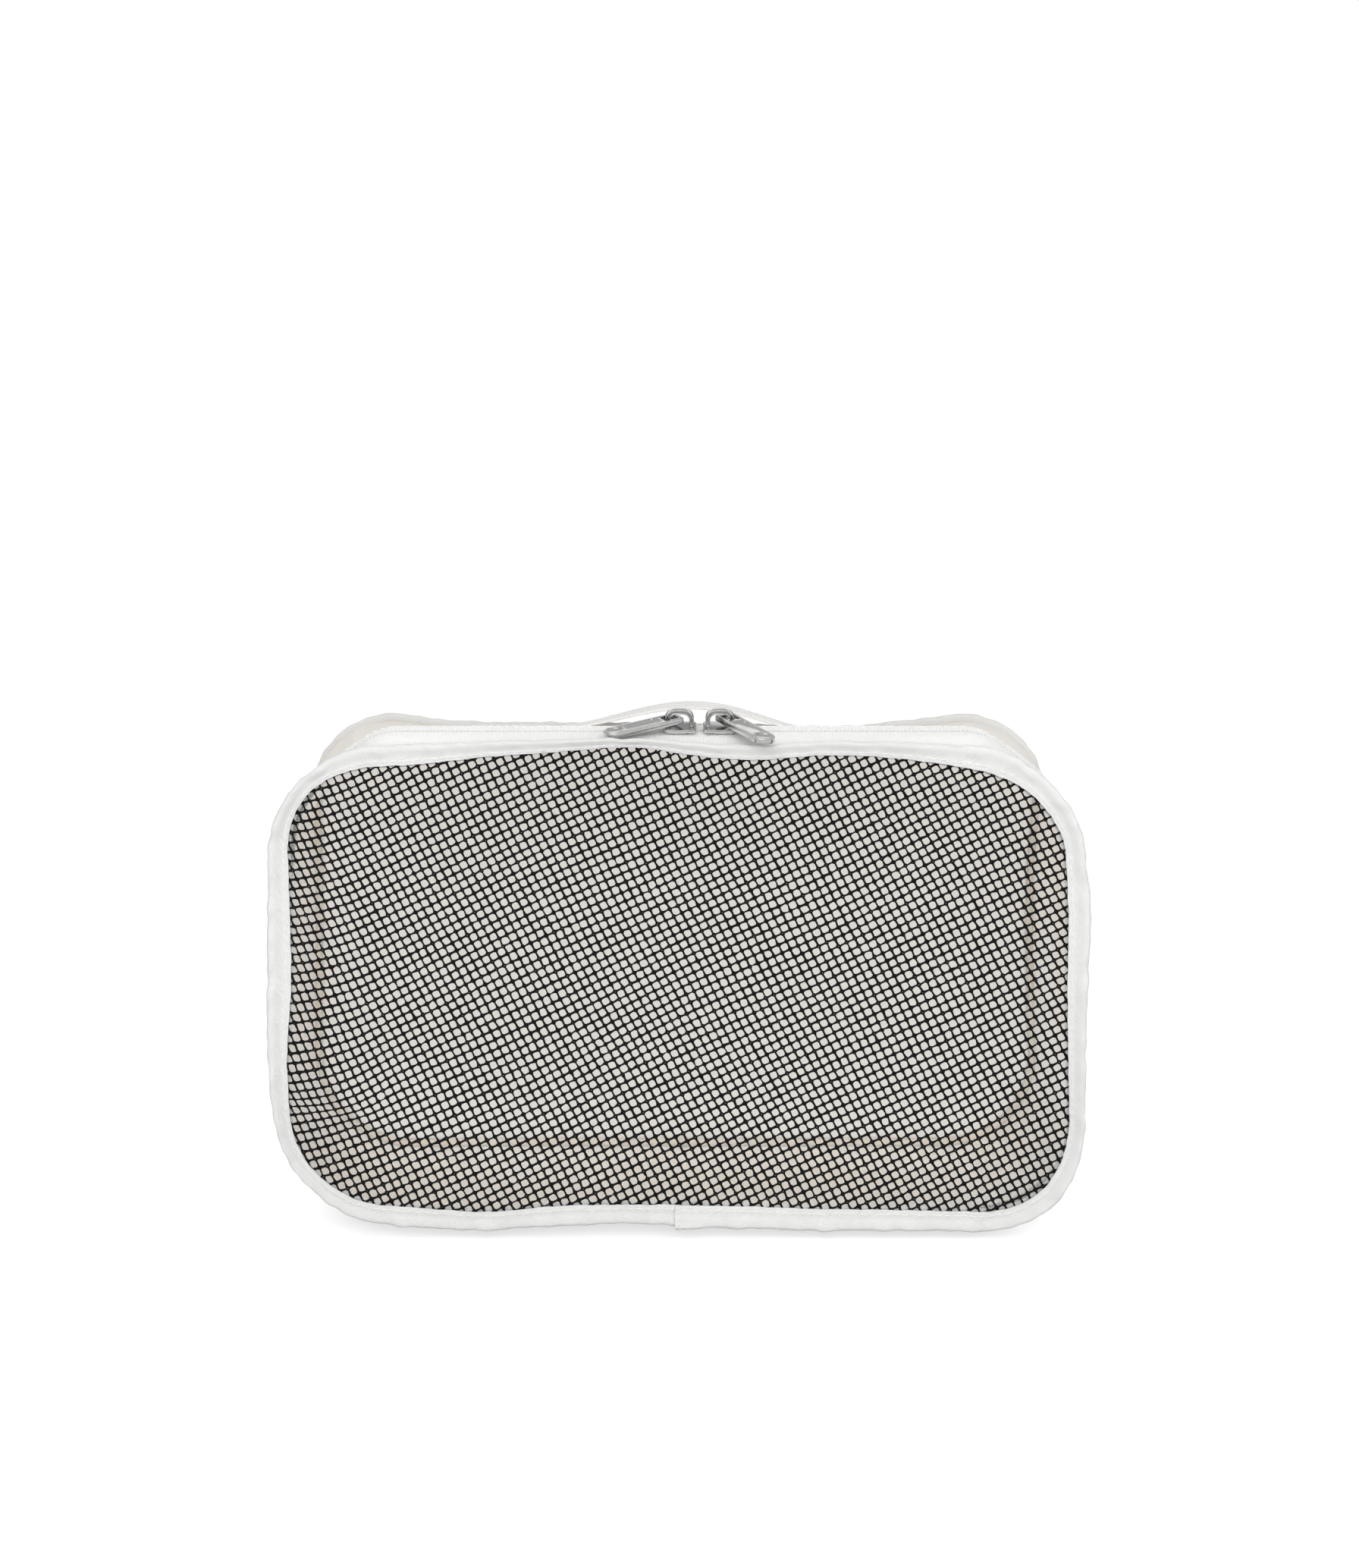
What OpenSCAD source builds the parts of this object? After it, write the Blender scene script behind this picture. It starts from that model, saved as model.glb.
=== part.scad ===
// Packing cube: a cloth box with a net door that a zip with two sliders closes round the top and sides.
// X runs to the right seen from the net, Y from the net to the back panel, Z up.
// The origin is the middle of the flat underside that the cube stands on.

/* [Cube] */
// Width over the gusset
cube_w = 290; // [220:1:380]
// Height over the gusset
cube_h = 175; // [130:1:260]
// Depth from the net to the back panel
cube_d = 92; // [80:1:160]
// Outer corner radius of the gusset
corner_r = 43; // [30:1:55]
// Thickness of the gusset and back cloth
cloth_t = 0.8; // [0.5:0.1:1.2]
// How far the front binding stands in from the gusset
front_inset = 5; // [4:0.5:8]
// How far the back binding stands in from the gusset
back_inset = 6; // [4:0.5:8]
// Depth of the shoulder that slopes up from the front binding
front_slope_d = 25.5; // [24:0.5:32]
// Depth of the shoulder that slopes down to the back binding
back_slope_d = 21; // [16:0.5:30]

/* [Bindings] */
// Width of a folded binding
bind_w = 8; // [7:0.5:12]
// Thickness of a folded binding
bind_t = 3; // [2.6:0.1:4]
// Thickness of the binding tape itself
bind_leaf = 0.7; // [0.4:0.05:0.8]
// Gap between the folded net edge and the bottom cloth that it hinges on
hinge_gap = 0.3; // [0.2:0.1:0.6]

/* [Net and back panel] */
// Thickness of the net
net_t = 1; // [0.6:0.1:1.1]
// Spacing of the strands, drawn coarser than knitted net
net_pitch = 11; // [10.5:0.5:20]
// Width of a strand
net_strand = 2; // [1:0.1:4]
// Turn of the strands from level
net_turn = 26; // [0:1:45]
// Gap from a panel's cut edge to the fold of its binding
panel_gap = 0.4; // [0.2:0.1:1]
// Thickness of the back panel with its coating
back_t = 1.2; // [0.6:0.1:1.4]

/* [Zip] */
// Distance from the front binding to the middle of the zip
zip_s = 12.4; // [11:0.1:14]
// Gap between the two tapes
zip_gap = 2; // [1.6:0.1:2.6]
// Thickness of the tape
tape_t = 0.8; // [0.5:0.1:1.2]
// Width of one row of coil
coil_w = 2.2; // [1.8:0.1:3]
// Thickness of the coil
coil_t = 2; // [1.5:0.1:3]
// How far the coil stands back from the tape's edge
coil_set = 0.2; // [0.1:0.1:0.5]
// Gap that the sewing thread keeps under a coil and under the carry strap
thread_gap = 0.1; // [0.05:0.05:0.2]
// Gap between the zip's cut ends and the bottom cloth
end_gap = 0.4; // [0.3:0.1:1]

/* [Sliders] */
// Running gap between a slider and the zip
run_gap = 0.35; // [0.25:0.05:0.5]
// Length of a slider
slider_l = 11.6; // [10:0.1:14]
// Thickness of a slider's plates
plate_t = 1; // [0.8:0.1:1.4]
// Thickness of a slider's side flanges
flange_t = 0.75; // [0.6:0.05:1]
// Length of the side flanges, from the tail
flange_l = 6.4; // [4:0.1:8]
// How much wider the nose is than the tail
nose_flare = 1; // [0:0.1:2]
// Corner radius of the plates
plate_r = 1.6; // [0.8:0.1:2.5]
// Height of the top plate's underside over the tape
roof_h = 0.8; // [0.6:0.1:1.5]
// Length of the wedge that parts the coils
wedge_l = 3.6; // [2:0.1:5]
// Place of the left slider along the zip
left_x = 0; // [-20:1:1]
// Place of the right slider along the zip
right_x = 14; // [13:1:40]

/* [Crowns] */
// Width of a crown's band
crown_w = 3.2; // [2.4:0.1:4]
// Thickness of a crown's band
crown_t = 1.6; // [1.2:0.1:2.2]
// Inner radius of a crown's bends
crown_r = 2.1; // [1.8:0.1:3]
// Straight stretch between a crown's bends
crown_flat = 2.6; // [1:0.1:4]
// Height of the pull's axis over the top plate
axis_h = 2.4; // [2:0.1:3.5]
// Depth of the dished sides
dish_d = 0.4; // [0.2:0.05:0.8]
// Width of the rim round the dished sides
dish_rim = 0.4; // [0.3:0.05:0.6]

/* [Pulls] */
// Length of a pull
pull_l = 28.5; // [22:0.5:40]
// Width of a pull
pull_w = 7.8; // [7:0.1:10]
// Thickness of a pull
pull_t = 2; // [1.5:0.1:2.4]
// Thickness of the bar across the end of the eye
pull_bar = 1.3; // [1:0.1:1.6]
// Length and width of the eye
eye = 5.4; // [5:0.1:6]
// Corner radius of the eye and of the recessed panel
eye_r = 0.8; // [0.4:0.1:1.5]
// Width of the raised rim
pull_rim = 1.2; // [0.8:0.1:1.6]
// Depth of the recessed panel and of the round dimple
panel_dip = 0.35; // [0.2:0.05:0.6]
// Turn of the left pull towards the front
left_turn = 24; // [0:1:24]
// Turn of the right pull towards the front
right_turn = 58; // [50:1:58]
// Angle by which the left pull droops from the slider's top
left_drop = 5; // [4:0.1:5.2]
// Angle by which the right pull droops from the slider's top
right_drop = 3; // [0:0.1:3.4]

/* [Carry strap] */
// Width of the strap
strap_w = 10; // [8:0.5:14]
// Thickness of the strap
strap_t = 1.2; // [0.8:0.1:2]
// Distance from the strap's back edge to the back binding
strap_set = 1; // [0.5:0.1:3]
// Outer end of the left sewn patch
strap_left = -80; // [-95:1:-60]
// Outer end of the right sewn patch
strap_right = 82; // [60:1:95]
// Where the strap lifts off on the left
lift_left = -44; // [-55:1:-35]
// Where the strap lifts off on the right
lift_right = 50; // [35:1:55]
// Rise of the loop's middle
strap_rise = 8; // [7.5:0.5:25]
// Height at which the free loop starts
loop_base = 3.6; // [3.4:0.1:5]
// Gap between the free loop and the sewn ends
loop_gap = 0.3; // [0.2:0.1:0.6]

/* [Hidden] */
$fn = 48;

tape_white = [0.95, 0.95, 0.94];
cloth_white = [0.91, 0.90, 0.87];
net_black = [0.06, 0.06, 0.06];
cast_silver = [0.62, 0.62, 0.63];

// Planes of the two bindings
front_y = -cube_d / 2;
back_y = cube_d / 2;
fold_r = bind_t / 2;
slot_t = bind_t - 2 * bind_leaf;

// A cross-section is drawn as [out, y]: out is 0 on the gusset and grows outwards.
front_edge = [-front_inset - fold_r, front_y + fold_r];
front_brow = [0, front_edge[1] + front_slope_d];
back_edge = [-back_inset - fold_r, back_y - fold_r];
back_brow = [0, back_edge[1] - back_slope_d];
slope = atan2(front_brow[0] - front_edge[0], front_slope_d);
slope_l = norm(front_brow - front_edge);
back_slope = atan2(back_brow[0] - back_edge[0], back_slope_d);
back_slope_l = norm(back_edge - back_brow);

// Points on the two shoulders: s along the slope from front to back, n out of the cloth
function on_front(s, n) = front_edge + s * [sin(slope), cos(slope)] + n * [cos(slope), -sin(slope)];
function on_back(s, n) =
    back_brow + s * [-sin(back_slope), cos(back_slope)] + n * [cos(back_slope), sin(back_slope)];

front_tape_end = zip_s - zip_gap / 2;
rear_tape_start = zip_s + zip_gap / 2;

// A slider's levels, measured from the outer face of the tape
plate_top = roof_h + plate_t;
floor_top = -tape_t - thread_gap - coil_t - run_gap;
axis_up = plate_top + axis_h;
tail_half = zip_gap / 2 + coil_set + coil_w + run_gap + flange_t;
wedge_t = zip_gap - 2 * run_gap;
crown_half = crown_flat / 2 + crown_r + crown_t;

// The eye rides round the middle of the crown's band
eye_out = (crown_r + crown_half) / 2;
pull_tip = pull_l - pull_bar - eye / 2;

// The strap's loop is one wave from lift-off to lift-off
loop_l = lift_right - lift_left;
base_l = loop_l * acos(1 - 2 * loop_base / strap_rise) / 360;
loop_steps = 32;
function strap_up(x) =
    x < lift_left || x > lift_right ? 0 : strap_rise * (1 - cos(360 * (x - lift_left) / loop_l)) / 2;

// Runs of a cross-section round the cube
module right_run() {
    translate([cube_w / 2, 0, corner_r])
        linear_extrude(cube_h - 2 * corner_r)
            children();
}

module top_run(from_x, to_x) {
    translate([to_x, 0, cube_h])
        rotate([0, -90, 0])
            linear_extrude(to_x - from_x)
                children();
}

module bottom_run(from_x, to_x) {
    translate([from_x, 0, 0])
        rotate([0, 90, 0])
            linear_extrude(to_x - from_x)
                children();
}

module corner_bend(side, up, start) {
    translate([side * (cube_w / 2 - corner_r), 0, up ? cube_h - corner_r : corner_r])
        rotate([-90, 0, 0])
            rotate([0, 0, start])
                rotate_extrude(angle = 90)
                    translate([corner_r, 0])
                        children();
}

// Top, sides and all four corners, which is the way that the zip goes
module zip_way() {
    run = cube_w / 2 - corner_r;
    right_run() children();
    mirror([1, 0, 0]) right_run() children();
    top_run(-run, run) children();
    corner_bend(1, true, -90) children();
    corner_bend(-1, true, -180) children();
    corner_bend(-1, false, 90) children();
    corner_bend(1, false, 0) children();
}

module whole_way() {
    run = cube_w / 2 - corner_r;
    zip_way() children();
    bottom_run(-run, run) children();
}

// Outline of a panel whose edge lies out from the gusset by the given amount
module panel_outline(out) {
    w = cube_w + 2 * out;
    h = cube_h + 2 * out;
    r = corner_r + out;
    square([w - 2 * r, h], center = true);
    square([w, h - 2 * r], center = true);
    for (x = [-1, 1], z = [-1, 1])
        translate([x * (w / 2 - r), z * (h / 2 - r)])
            circle(r);
}

module upright(y, thickness) {
    translate([0, y + thickness / 2, cube_h / 2])
        rotate([90, 0, 0])
            linear_extrude(thickness)
                children();
}

// How far a point of the net lies inside the panel's outline
function depth_inside(p, out) =
    let (
        r = corner_r + out,
        over = [abs(p[0]) - cube_w / 2 - out + r, abs(p[1]) - cube_h / 2 - out + r],
        corner = norm([max(over[0], 0), max(over[1], 0)])
    )
    r - corner - min(max(over[0], over[1]), 0);

// Cloth panels
module back_panel() {
    out = back_edge[0] - panel_gap;
    color(cloth_white) upright(back_y, back_t) panel_outline(out);
}

module upper_gusset() {
    color(cloth_white)
        zip_way()
            polygon([
                front_brow,
                back_brow,
                back_edge,
                back_edge - [cloth_t / cos(back_slope), 0],
                back_brow - [cloth_t, 0],
                front_brow - [cloth_t, 0]
            ]);
}

module bottom_gusset() {
    run = cube_w / 2 - corner_r - end_gap;
    color(cloth_white)
        bottom_run(-run, run)
            polygon([
                on_front(hinge_gap / cos(slope), 0),
                front_brow,
                back_brow,
                back_edge,
                back_edge - [cloth_t / cos(back_slope), 0],
                back_brow - [cloth_t, 0],
                front_brow - [cloth_t, 0],
                on_front(hinge_gap / cos(slope) - cloth_t * tan(slope), -cloth_t)
            ]);
}

// Bindings: a tape folded to a U, with its round fold outwards
module fold_section() {
    difference() {
        union() {
            circle(fold_r);
            translate([fold_r - bind_w, -fold_r])
                square([bind_w - fold_r, bind_t]);
        }
        translate([-bind_w, -slot_t / 2])
            square([bind_w, slot_t]);
    }
}

module binding(edge_out, plane_y) {
    color(tape_white)
        whole_way()
            translate([edge_out, plane_y])
                fold_section();
}

// Net door
module front_net() {
    out = front_edge[0] - panel_gap;
    hole = net_pitch - net_strand;
    reach = ceil(norm([cube_w, cube_h]) / 2 / net_pitch);
    along = net_pitch * [cos(net_turn), sin(net_turn)];
    across = net_pitch * [-sin(net_turn), cos(net_turn)];
    color(net_black)
        upright(front_y, net_t)
            difference() {
                panel_outline(out);
                for (i = [-reach:reach], j = [-reach:reach]) {
                    p = i * along + j * across;
                    if (depth_inside(p, out) > net_pitch / sqrt(2))
                        translate(p)
                            rotate(net_turn)
                                square(hole, center = true);
                }
            }
}

// Zip
module front_zip_tape() {
    color(tape_white)
        zip_way()
            polygon([
                on_front(0, 0),
                on_front(front_tape_end, 0),
                on_front(front_tape_end, -tape_t),
                on_front(-tape_t * tan(slope), -tape_t)
            ]);
}

module rear_zip_tape() {
    color(tape_white)
        zip_way()
            polygon([
                on_front(rear_tape_start, 0),
                on_front(slope_l, 0),
                on_front(slope_l - tape_t * tan(slope), -tape_t),
                on_front(rear_tape_start, -tape_t)
            ]);
}

module coil_row(from_s) {
    chamfer = coil_t / 4;
    high = -tape_t - thread_gap;
    deep = high - coil_t;
    color(tape_white)
        zip_way()
            polygon([
                on_front(from_s, high),
                on_front(from_s + coil_w, high),
                on_front(from_s + coil_w, deep + chamfer),
                on_front(from_s + coil_w - chamfer, deep),
                on_front(from_s + chamfer, deep),
                on_front(from_s, deep + chamfer)
            ]);
}

// Sliders, drawn with the nose towards +X and the outer face of the tape at Z 0
module at_zip(x) {
    middle = on_front(zip_s, 0);
    translate([x, middle[1], cube_h + middle[0]])
        rotate([slope, 0, 0])
            children();
}

module plate_outline() {
    nose_half = tail_half + nose_flare / 2;
    hull()
        for (side = [-1, 1]) {
            translate([slider_l / 2 - plate_r, side * (nose_half - plate_r)]) circle(plate_r);
            translate([plate_r - slider_l / 2, side * (tail_half - plate_r)]) circle(plate_r);
        }
}

module side_flanges(bottom, top) {
    for (side = [-1, 1])
        translate([plate_r - slider_l / 2, side * (tail_half - flange_t / 2) - flange_t / 2, bottom])
            cube([flange_l, flange_t, top - bottom]);
}

module slider_body() {
    wedge_nose = slider_l / 2 - plate_t;
    color(cast_silver) {
        translate([0, 0, roof_h]) linear_extrude(plate_t) plate_outline();
        translate([0, 0, floor_top - plate_t]) linear_extrude(plate_t) plate_outline();
        side_flanges(run_gap, roof_h);
        side_flanges(floor_top, -tape_t - run_gap);
        translate([0, 0, floor_top])
            linear_extrude(roof_h - floor_top)
                polygon([
                    [wedge_nose, -wedge_t / 2],
                    [wedge_nose, wedge_t / 2],
                    [wedge_nose - wedge_l / 2, wedge_t / 2],
                    [wedge_nose - wedge_l, 0],
                    [wedge_nose - wedge_l / 2, -wedge_t / 2]
                ]);
    }
}

// Solid arch over a slider, from the top plate up
module arch_outline(grow) {
    for (side = [-1, 1])
        translate([side * crown_flat / 2, axis_up])
            circle(crown_r + grow);
    translate([-crown_flat / 2, axis_up])
        square([crown_flat, crown_r + grow]);
    translate([-crown_flat / 2 - crown_r - grow, plate_top])
        square([crown_flat + 2 * crown_r + 2 * grow, axis_h]);
}

module arch_band(inner, outer, foot) {
    intersection() {
        difference() {
            arch_outline(outer);
            arch_outline(inner);
        }
        translate([-slider_l, plate_top + foot])
            square([2 * slider_l, slider_l]);
    }
}

module slider_crown() {
    color(cast_silver)
        difference() {
            rotate([90, 0, 0])
                linear_extrude(crown_w, center = true)
                    arch_band(0, crown_t, 0);
            for (side = [-1, 1])
                translate([0, side * crown_w / 2, 0])
                    rotate([90, 0, 0])
                        linear_extrude(2 * dish_d, center = true)
                            arch_band(dish_rim, crown_t - dish_rim, dish_rim);
        }
}

module rounded_slab(length, width, r) {
    square([length - 2 * r, width], center = true);
    square([length, width - 2 * r], center = true);
    for (x = [-1, 1], y = [-1, 1])
        translate([x * (length / 2 - r), y * (width / 2 - r)])
            circle(r);
}

// A pull, drawn with the middle of its eye at the origin and its tip towards +X
module pull_tab() {
    tip_r = pull_w / 2;
    dimple_r = tip_r - pull_rim;
    tip_x = pull_tip - tip_r;
    head_l = eye + 2 * pull_bar;
    panel_start = eye / 2 + 2 * pull_rim;
    panel_end = tip_x - dimple_r - pull_rim;
    color(cast_silver)
        difference() {
            translate([0, 0, -pull_t / 2])
                linear_extrude(pull_t)
                    difference() {
                        union() {
                            rounded_slab(head_l, pull_w, eye_r);
                            translate([0, -tip_r]) square([tip_x, pull_w]);
                            translate([tip_x, 0]) circle(tip_r);
                        }
                        rounded_slab(eye, eye, eye_r);
                    }
            translate([0, 0, pull_t / 2 - panel_dip])
                linear_extrude(pull_t) {
                    translate([tip_x, 0]) circle(dimple_r);
                    translate([(panel_start + panel_end) / 2, 0])
                        rounded_slab(panel_end - panel_start, 2 * dimple_r, eye_r);
                }
        }
}

module hung_pull(turn, drop) {
    translate([0, 0, axis_up])
        rotate([0, drop, 0])
            translate([eye_out, 0, 0])
                rotate([0, 0, -turn])
                    pull_tab();
}

// Carry strap on the back shoulder: its shape is drawn along X and up from the cloth
module strap_piece(from_x, to_x) {
    back = on_back(back_slope_l - strap_set, thread_gap);
    xs = [for (i = [0:loop_steps]) from_x + (to_x - from_x) * i / loop_steps];
    color(tape_white)
        translate([0, back[1], cube_h + back[0]])
            rotate([90 - back_slope, 0, 0])
                linear_extrude(strap_w)
                    polygon(concat(
                        [for (x = xs) [x, strap_up(x)]],
                        [for (i = [loop_steps:-1:0]) [xs[i], strap_up(xs[i]) + strap_t]]
                    ));
}

back_panel();
upper_gusset();
bottom_gusset();
binding(back_edge[0], back_y);  // back_binding
rear_zip_tape();
coil_row(rear_tape_start + coil_set);  // rear_zip_coil
strap_piece(strap_left, lift_left + base_l);  // handle_end_left
strap_piece(lift_right - base_l, strap_right);  // handle_end_right
strap_piece(lift_left + base_l + loop_gap, lift_right - base_l - loop_gap);  // handle_loop
front_net();
binding(front_edge[0], front_y);  // front_binding
front_zip_tape();
coil_row(front_tape_end - coil_set - coil_w);  // front_zip_coil
at_zip(left_x) slider_body();  // left_slider_body
at_zip(left_x) slider_crown();  // left_slider_crown
at_zip(left_x) mirror([1, 0, 0]) hung_pull(left_turn, left_drop);  // left_pull
at_zip(right_x) mirror([1, 0, 0]) slider_body();  // right_slider_body
at_zip(right_x) mirror([1, 0, 0]) slider_crown();  // right_slider_crown
at_zip(right_x) hung_pull(right_turn, right_drop);  // right_pull
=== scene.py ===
"""Looks of a packing cube: net door, folded bindings, zip, slack cloth, carry strap and zip sliders.

X runs to the right seen from the net, Y from the net to the back panel, Z up, as in the CAD model.
Sizes in the classes are in millimetres, and meshes are in metres. A section across the cube is given
as (out, y): out is 0 on the seam path round the gusset and grows outwards.
"""

import logging
import math
from collections.abc import Sequence
from dataclasses import dataclass, field
from enum import Enum

import bpy
import numpy as np
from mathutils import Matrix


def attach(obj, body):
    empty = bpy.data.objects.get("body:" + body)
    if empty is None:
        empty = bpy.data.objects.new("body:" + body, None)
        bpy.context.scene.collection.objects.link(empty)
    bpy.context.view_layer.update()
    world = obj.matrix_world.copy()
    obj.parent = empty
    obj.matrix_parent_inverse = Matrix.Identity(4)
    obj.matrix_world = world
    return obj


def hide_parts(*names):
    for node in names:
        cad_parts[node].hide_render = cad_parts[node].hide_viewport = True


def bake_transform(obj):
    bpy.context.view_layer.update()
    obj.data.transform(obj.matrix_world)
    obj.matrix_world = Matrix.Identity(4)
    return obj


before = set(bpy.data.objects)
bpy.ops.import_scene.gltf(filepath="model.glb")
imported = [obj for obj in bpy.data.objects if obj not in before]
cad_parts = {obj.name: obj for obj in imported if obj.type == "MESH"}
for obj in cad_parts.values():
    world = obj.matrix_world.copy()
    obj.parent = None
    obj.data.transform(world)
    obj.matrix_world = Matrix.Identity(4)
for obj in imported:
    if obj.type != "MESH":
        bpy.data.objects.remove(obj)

LOG = logging.getLogger("packing_cube")
MM = 0.001
STITCH_GAP = 0.02
Array = np.ndarray
Colour = tuple[float, float, float, float]


# ---------------------------------------------------------------- hand tools


def only(obj: bpy.types.Object) -> None:
    """Selects one object alone and makes it active.

    Args:
        obj: The object.
    """
    bpy.ops.object.select_all(action="DESELECT")
    obj.select_set(True)
    bpy.context.view_layer.objects.active = obj


def weld(obj: bpy.types.Object, gap: float = 1e-6) -> None:
    """Merges the doubles of a mesh and turns its faces outwards.

    Args:
        obj: The object.
        gap: Distance in metres under which two points are one.
    """
    only(obj)
    bpy.ops.object.mode_set(mode="EDIT")
    bpy.ops.mesh.select_all(action="SELECT")
    bpy.ops.mesh.remove_doubles(threshold=gap)
    bpy.ops.mesh.normals_make_consistent(inside=False)
    bpy.ops.object.mode_set(mode="OBJECT")


def thicken(obj: bpy.types.Object, thickness: float) -> None:
    """Gives a sheet its thickness, half on each side.

    Args:
        obj: The sheet.
        thickness: Thickness in millimetres.
    """
    wall = obj.modifiers.new("thickness", "SOLIDIFY")
    wall.thickness = thickness * MM
    wall.offset = 0.0
    only(obj)
    bpy.ops.object.modifier_apply(modifier=wall.name)


def smooth(obj: bpy.types.Object, angle: float) -> None:
    """Shades a piece smooth up to an angle in degrees."""
    only(obj)
    bpy.ops.object.shade_smooth_by_angle(angle=math.radians(angle))


def make_mesh(name: str, points: Array, faces: Array | list, uv: Array | None = None) -> bpy.types.Object:
    """Makes an object from points in millimetres.

    Args:
        name: Name of the object and its mesh.
        points: Points, one row each.
        faces: Corners of each face, as an array where all have as many.
        uv: Place of each point in the pattern of its finish.

    Returns:
        The object, linked to the scene.
    """
    mesh = bpy.data.meshes.new(name)
    corners = faces.tolist() if isinstance(faces, np.ndarray) else faces
    mesh.from_pydata((points * MM).tolist(), [], corners)
    if uv is not None:
        corner = np.empty(len(mesh.loops), np.int32)
        mesh.loops.foreach_get("vertex_index", corner)
        layer = mesh.uv_layers.new(name="pattern")
        layer.data.foreach_set("uv", uv[corner].astype(np.float32).ravel())
    mesh.update()
    obj = bpy.data.objects.new(name, mesh)
    bpy.context.scene.collection.objects.link(obj)
    return obj


def loft(name: str, grid: Array, closed: bool = False) -> bpy.types.Object:
    """Makes a sheet from a grid of points, with its pattern in metres along and across it.

    Args:
        name: Name of the sheet.
        grid: Points in rows along the sheet and columns across it.
        closed: Whether the last row lies on the first one.

    Returns:
        The sheet, welded, with its faces outwards.
    """
    rows, columns = grid.shape[:2]
    index = np.arange(rows * columns).reshape(rows, columns)
    corners = (index[:-1, :-1], index[:-1, 1:], index[1:, 1:], index[1:, :-1])
    faces = np.stack(corners, -1).reshape(-1, 4)
    middle = grid[:, columns // 2]
    along = np.concatenate([[0.0], np.cumsum(np.linalg.norm(np.diff(middle, axis=0), axis=1))])
    if closed:
        along *= np.round(along[-1]) / along[-1]
    steps = np.linalg.norm(np.diff(grid, axis=1), axis=2).mean(axis=0)
    across = np.concatenate([[0.0], np.cumsum(steps)])
    uv = np.stack(np.meshgrid(along, across, indexing="ij"), -1).reshape(-1, 2) * MM
    obj = make_mesh(name, grid.reshape(-1, 3), faces, uv)
    weld(obj)
    return obj


def smooth_line(knots: Array, steps: int) -> Array:
    """Runs a smooth curve through the knots of each section.

    Args:
        knots: Knots of every section, as (..., knot, axis).
        steps: Points for each stretch between two knots.

    Returns:
        The points of the curves, as (..., point, axis).
    """
    first = 2 * knots[..., :1, :] - knots[..., 1:2, :]
    last = 2 * knots[..., -1:, :] - knots[..., -2:-1, :]
    run = np.concatenate([first, knots, last], -2)
    a, b, c, d = run[..., :-3, :], run[..., 1:-2, :], run[..., 2:-1, :], run[..., 3:, :]
    t = np.arange(steps)[:, None] / steps
    a, b, c, d = (p[..., None, :] for p in (a, b, c, d))
    curve = b + 0.5 * t * (c - a + t * (2 * a - 5 * b + 4 * c - d + t * (3 * (b - c) + d - a)))
    curve = curve.reshape(*knots.shape[:-2], -1, knots.shape[-1])
    return np.concatenate([curve, knots[..., -1:, :]], -2)


def ease(value: Array, start: float, end: float) -> Array:
    """Rises smoothly from 0 at start to 1 at end."""
    t = np.clip((value - start) / (end - start), 0.0, 1.0)
    return t * t * (3 - 2 * t)


def ripple(along: Array, length: float, waves: Sequence[int], rng: np.random.Generator) -> Array:
    """Sums a few waves that close on themselves round a path.

    Args:
        along: Stations on the path.
        length: Length of the path.
        waves: How many waves of each kind fit on the path.
        rng: Source of the phases.

    Returns:
        A height from about -1 to 1 at each station.
    """
    total = np.zeros_like(along, dtype=float)
    for count in waves:
        total += np.sin(2 * math.pi * count * along / length + rng.uniform(0, 2 * math.pi))
    return total / len(waves)


# ---------------------------------------------------------------- seam path


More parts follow.
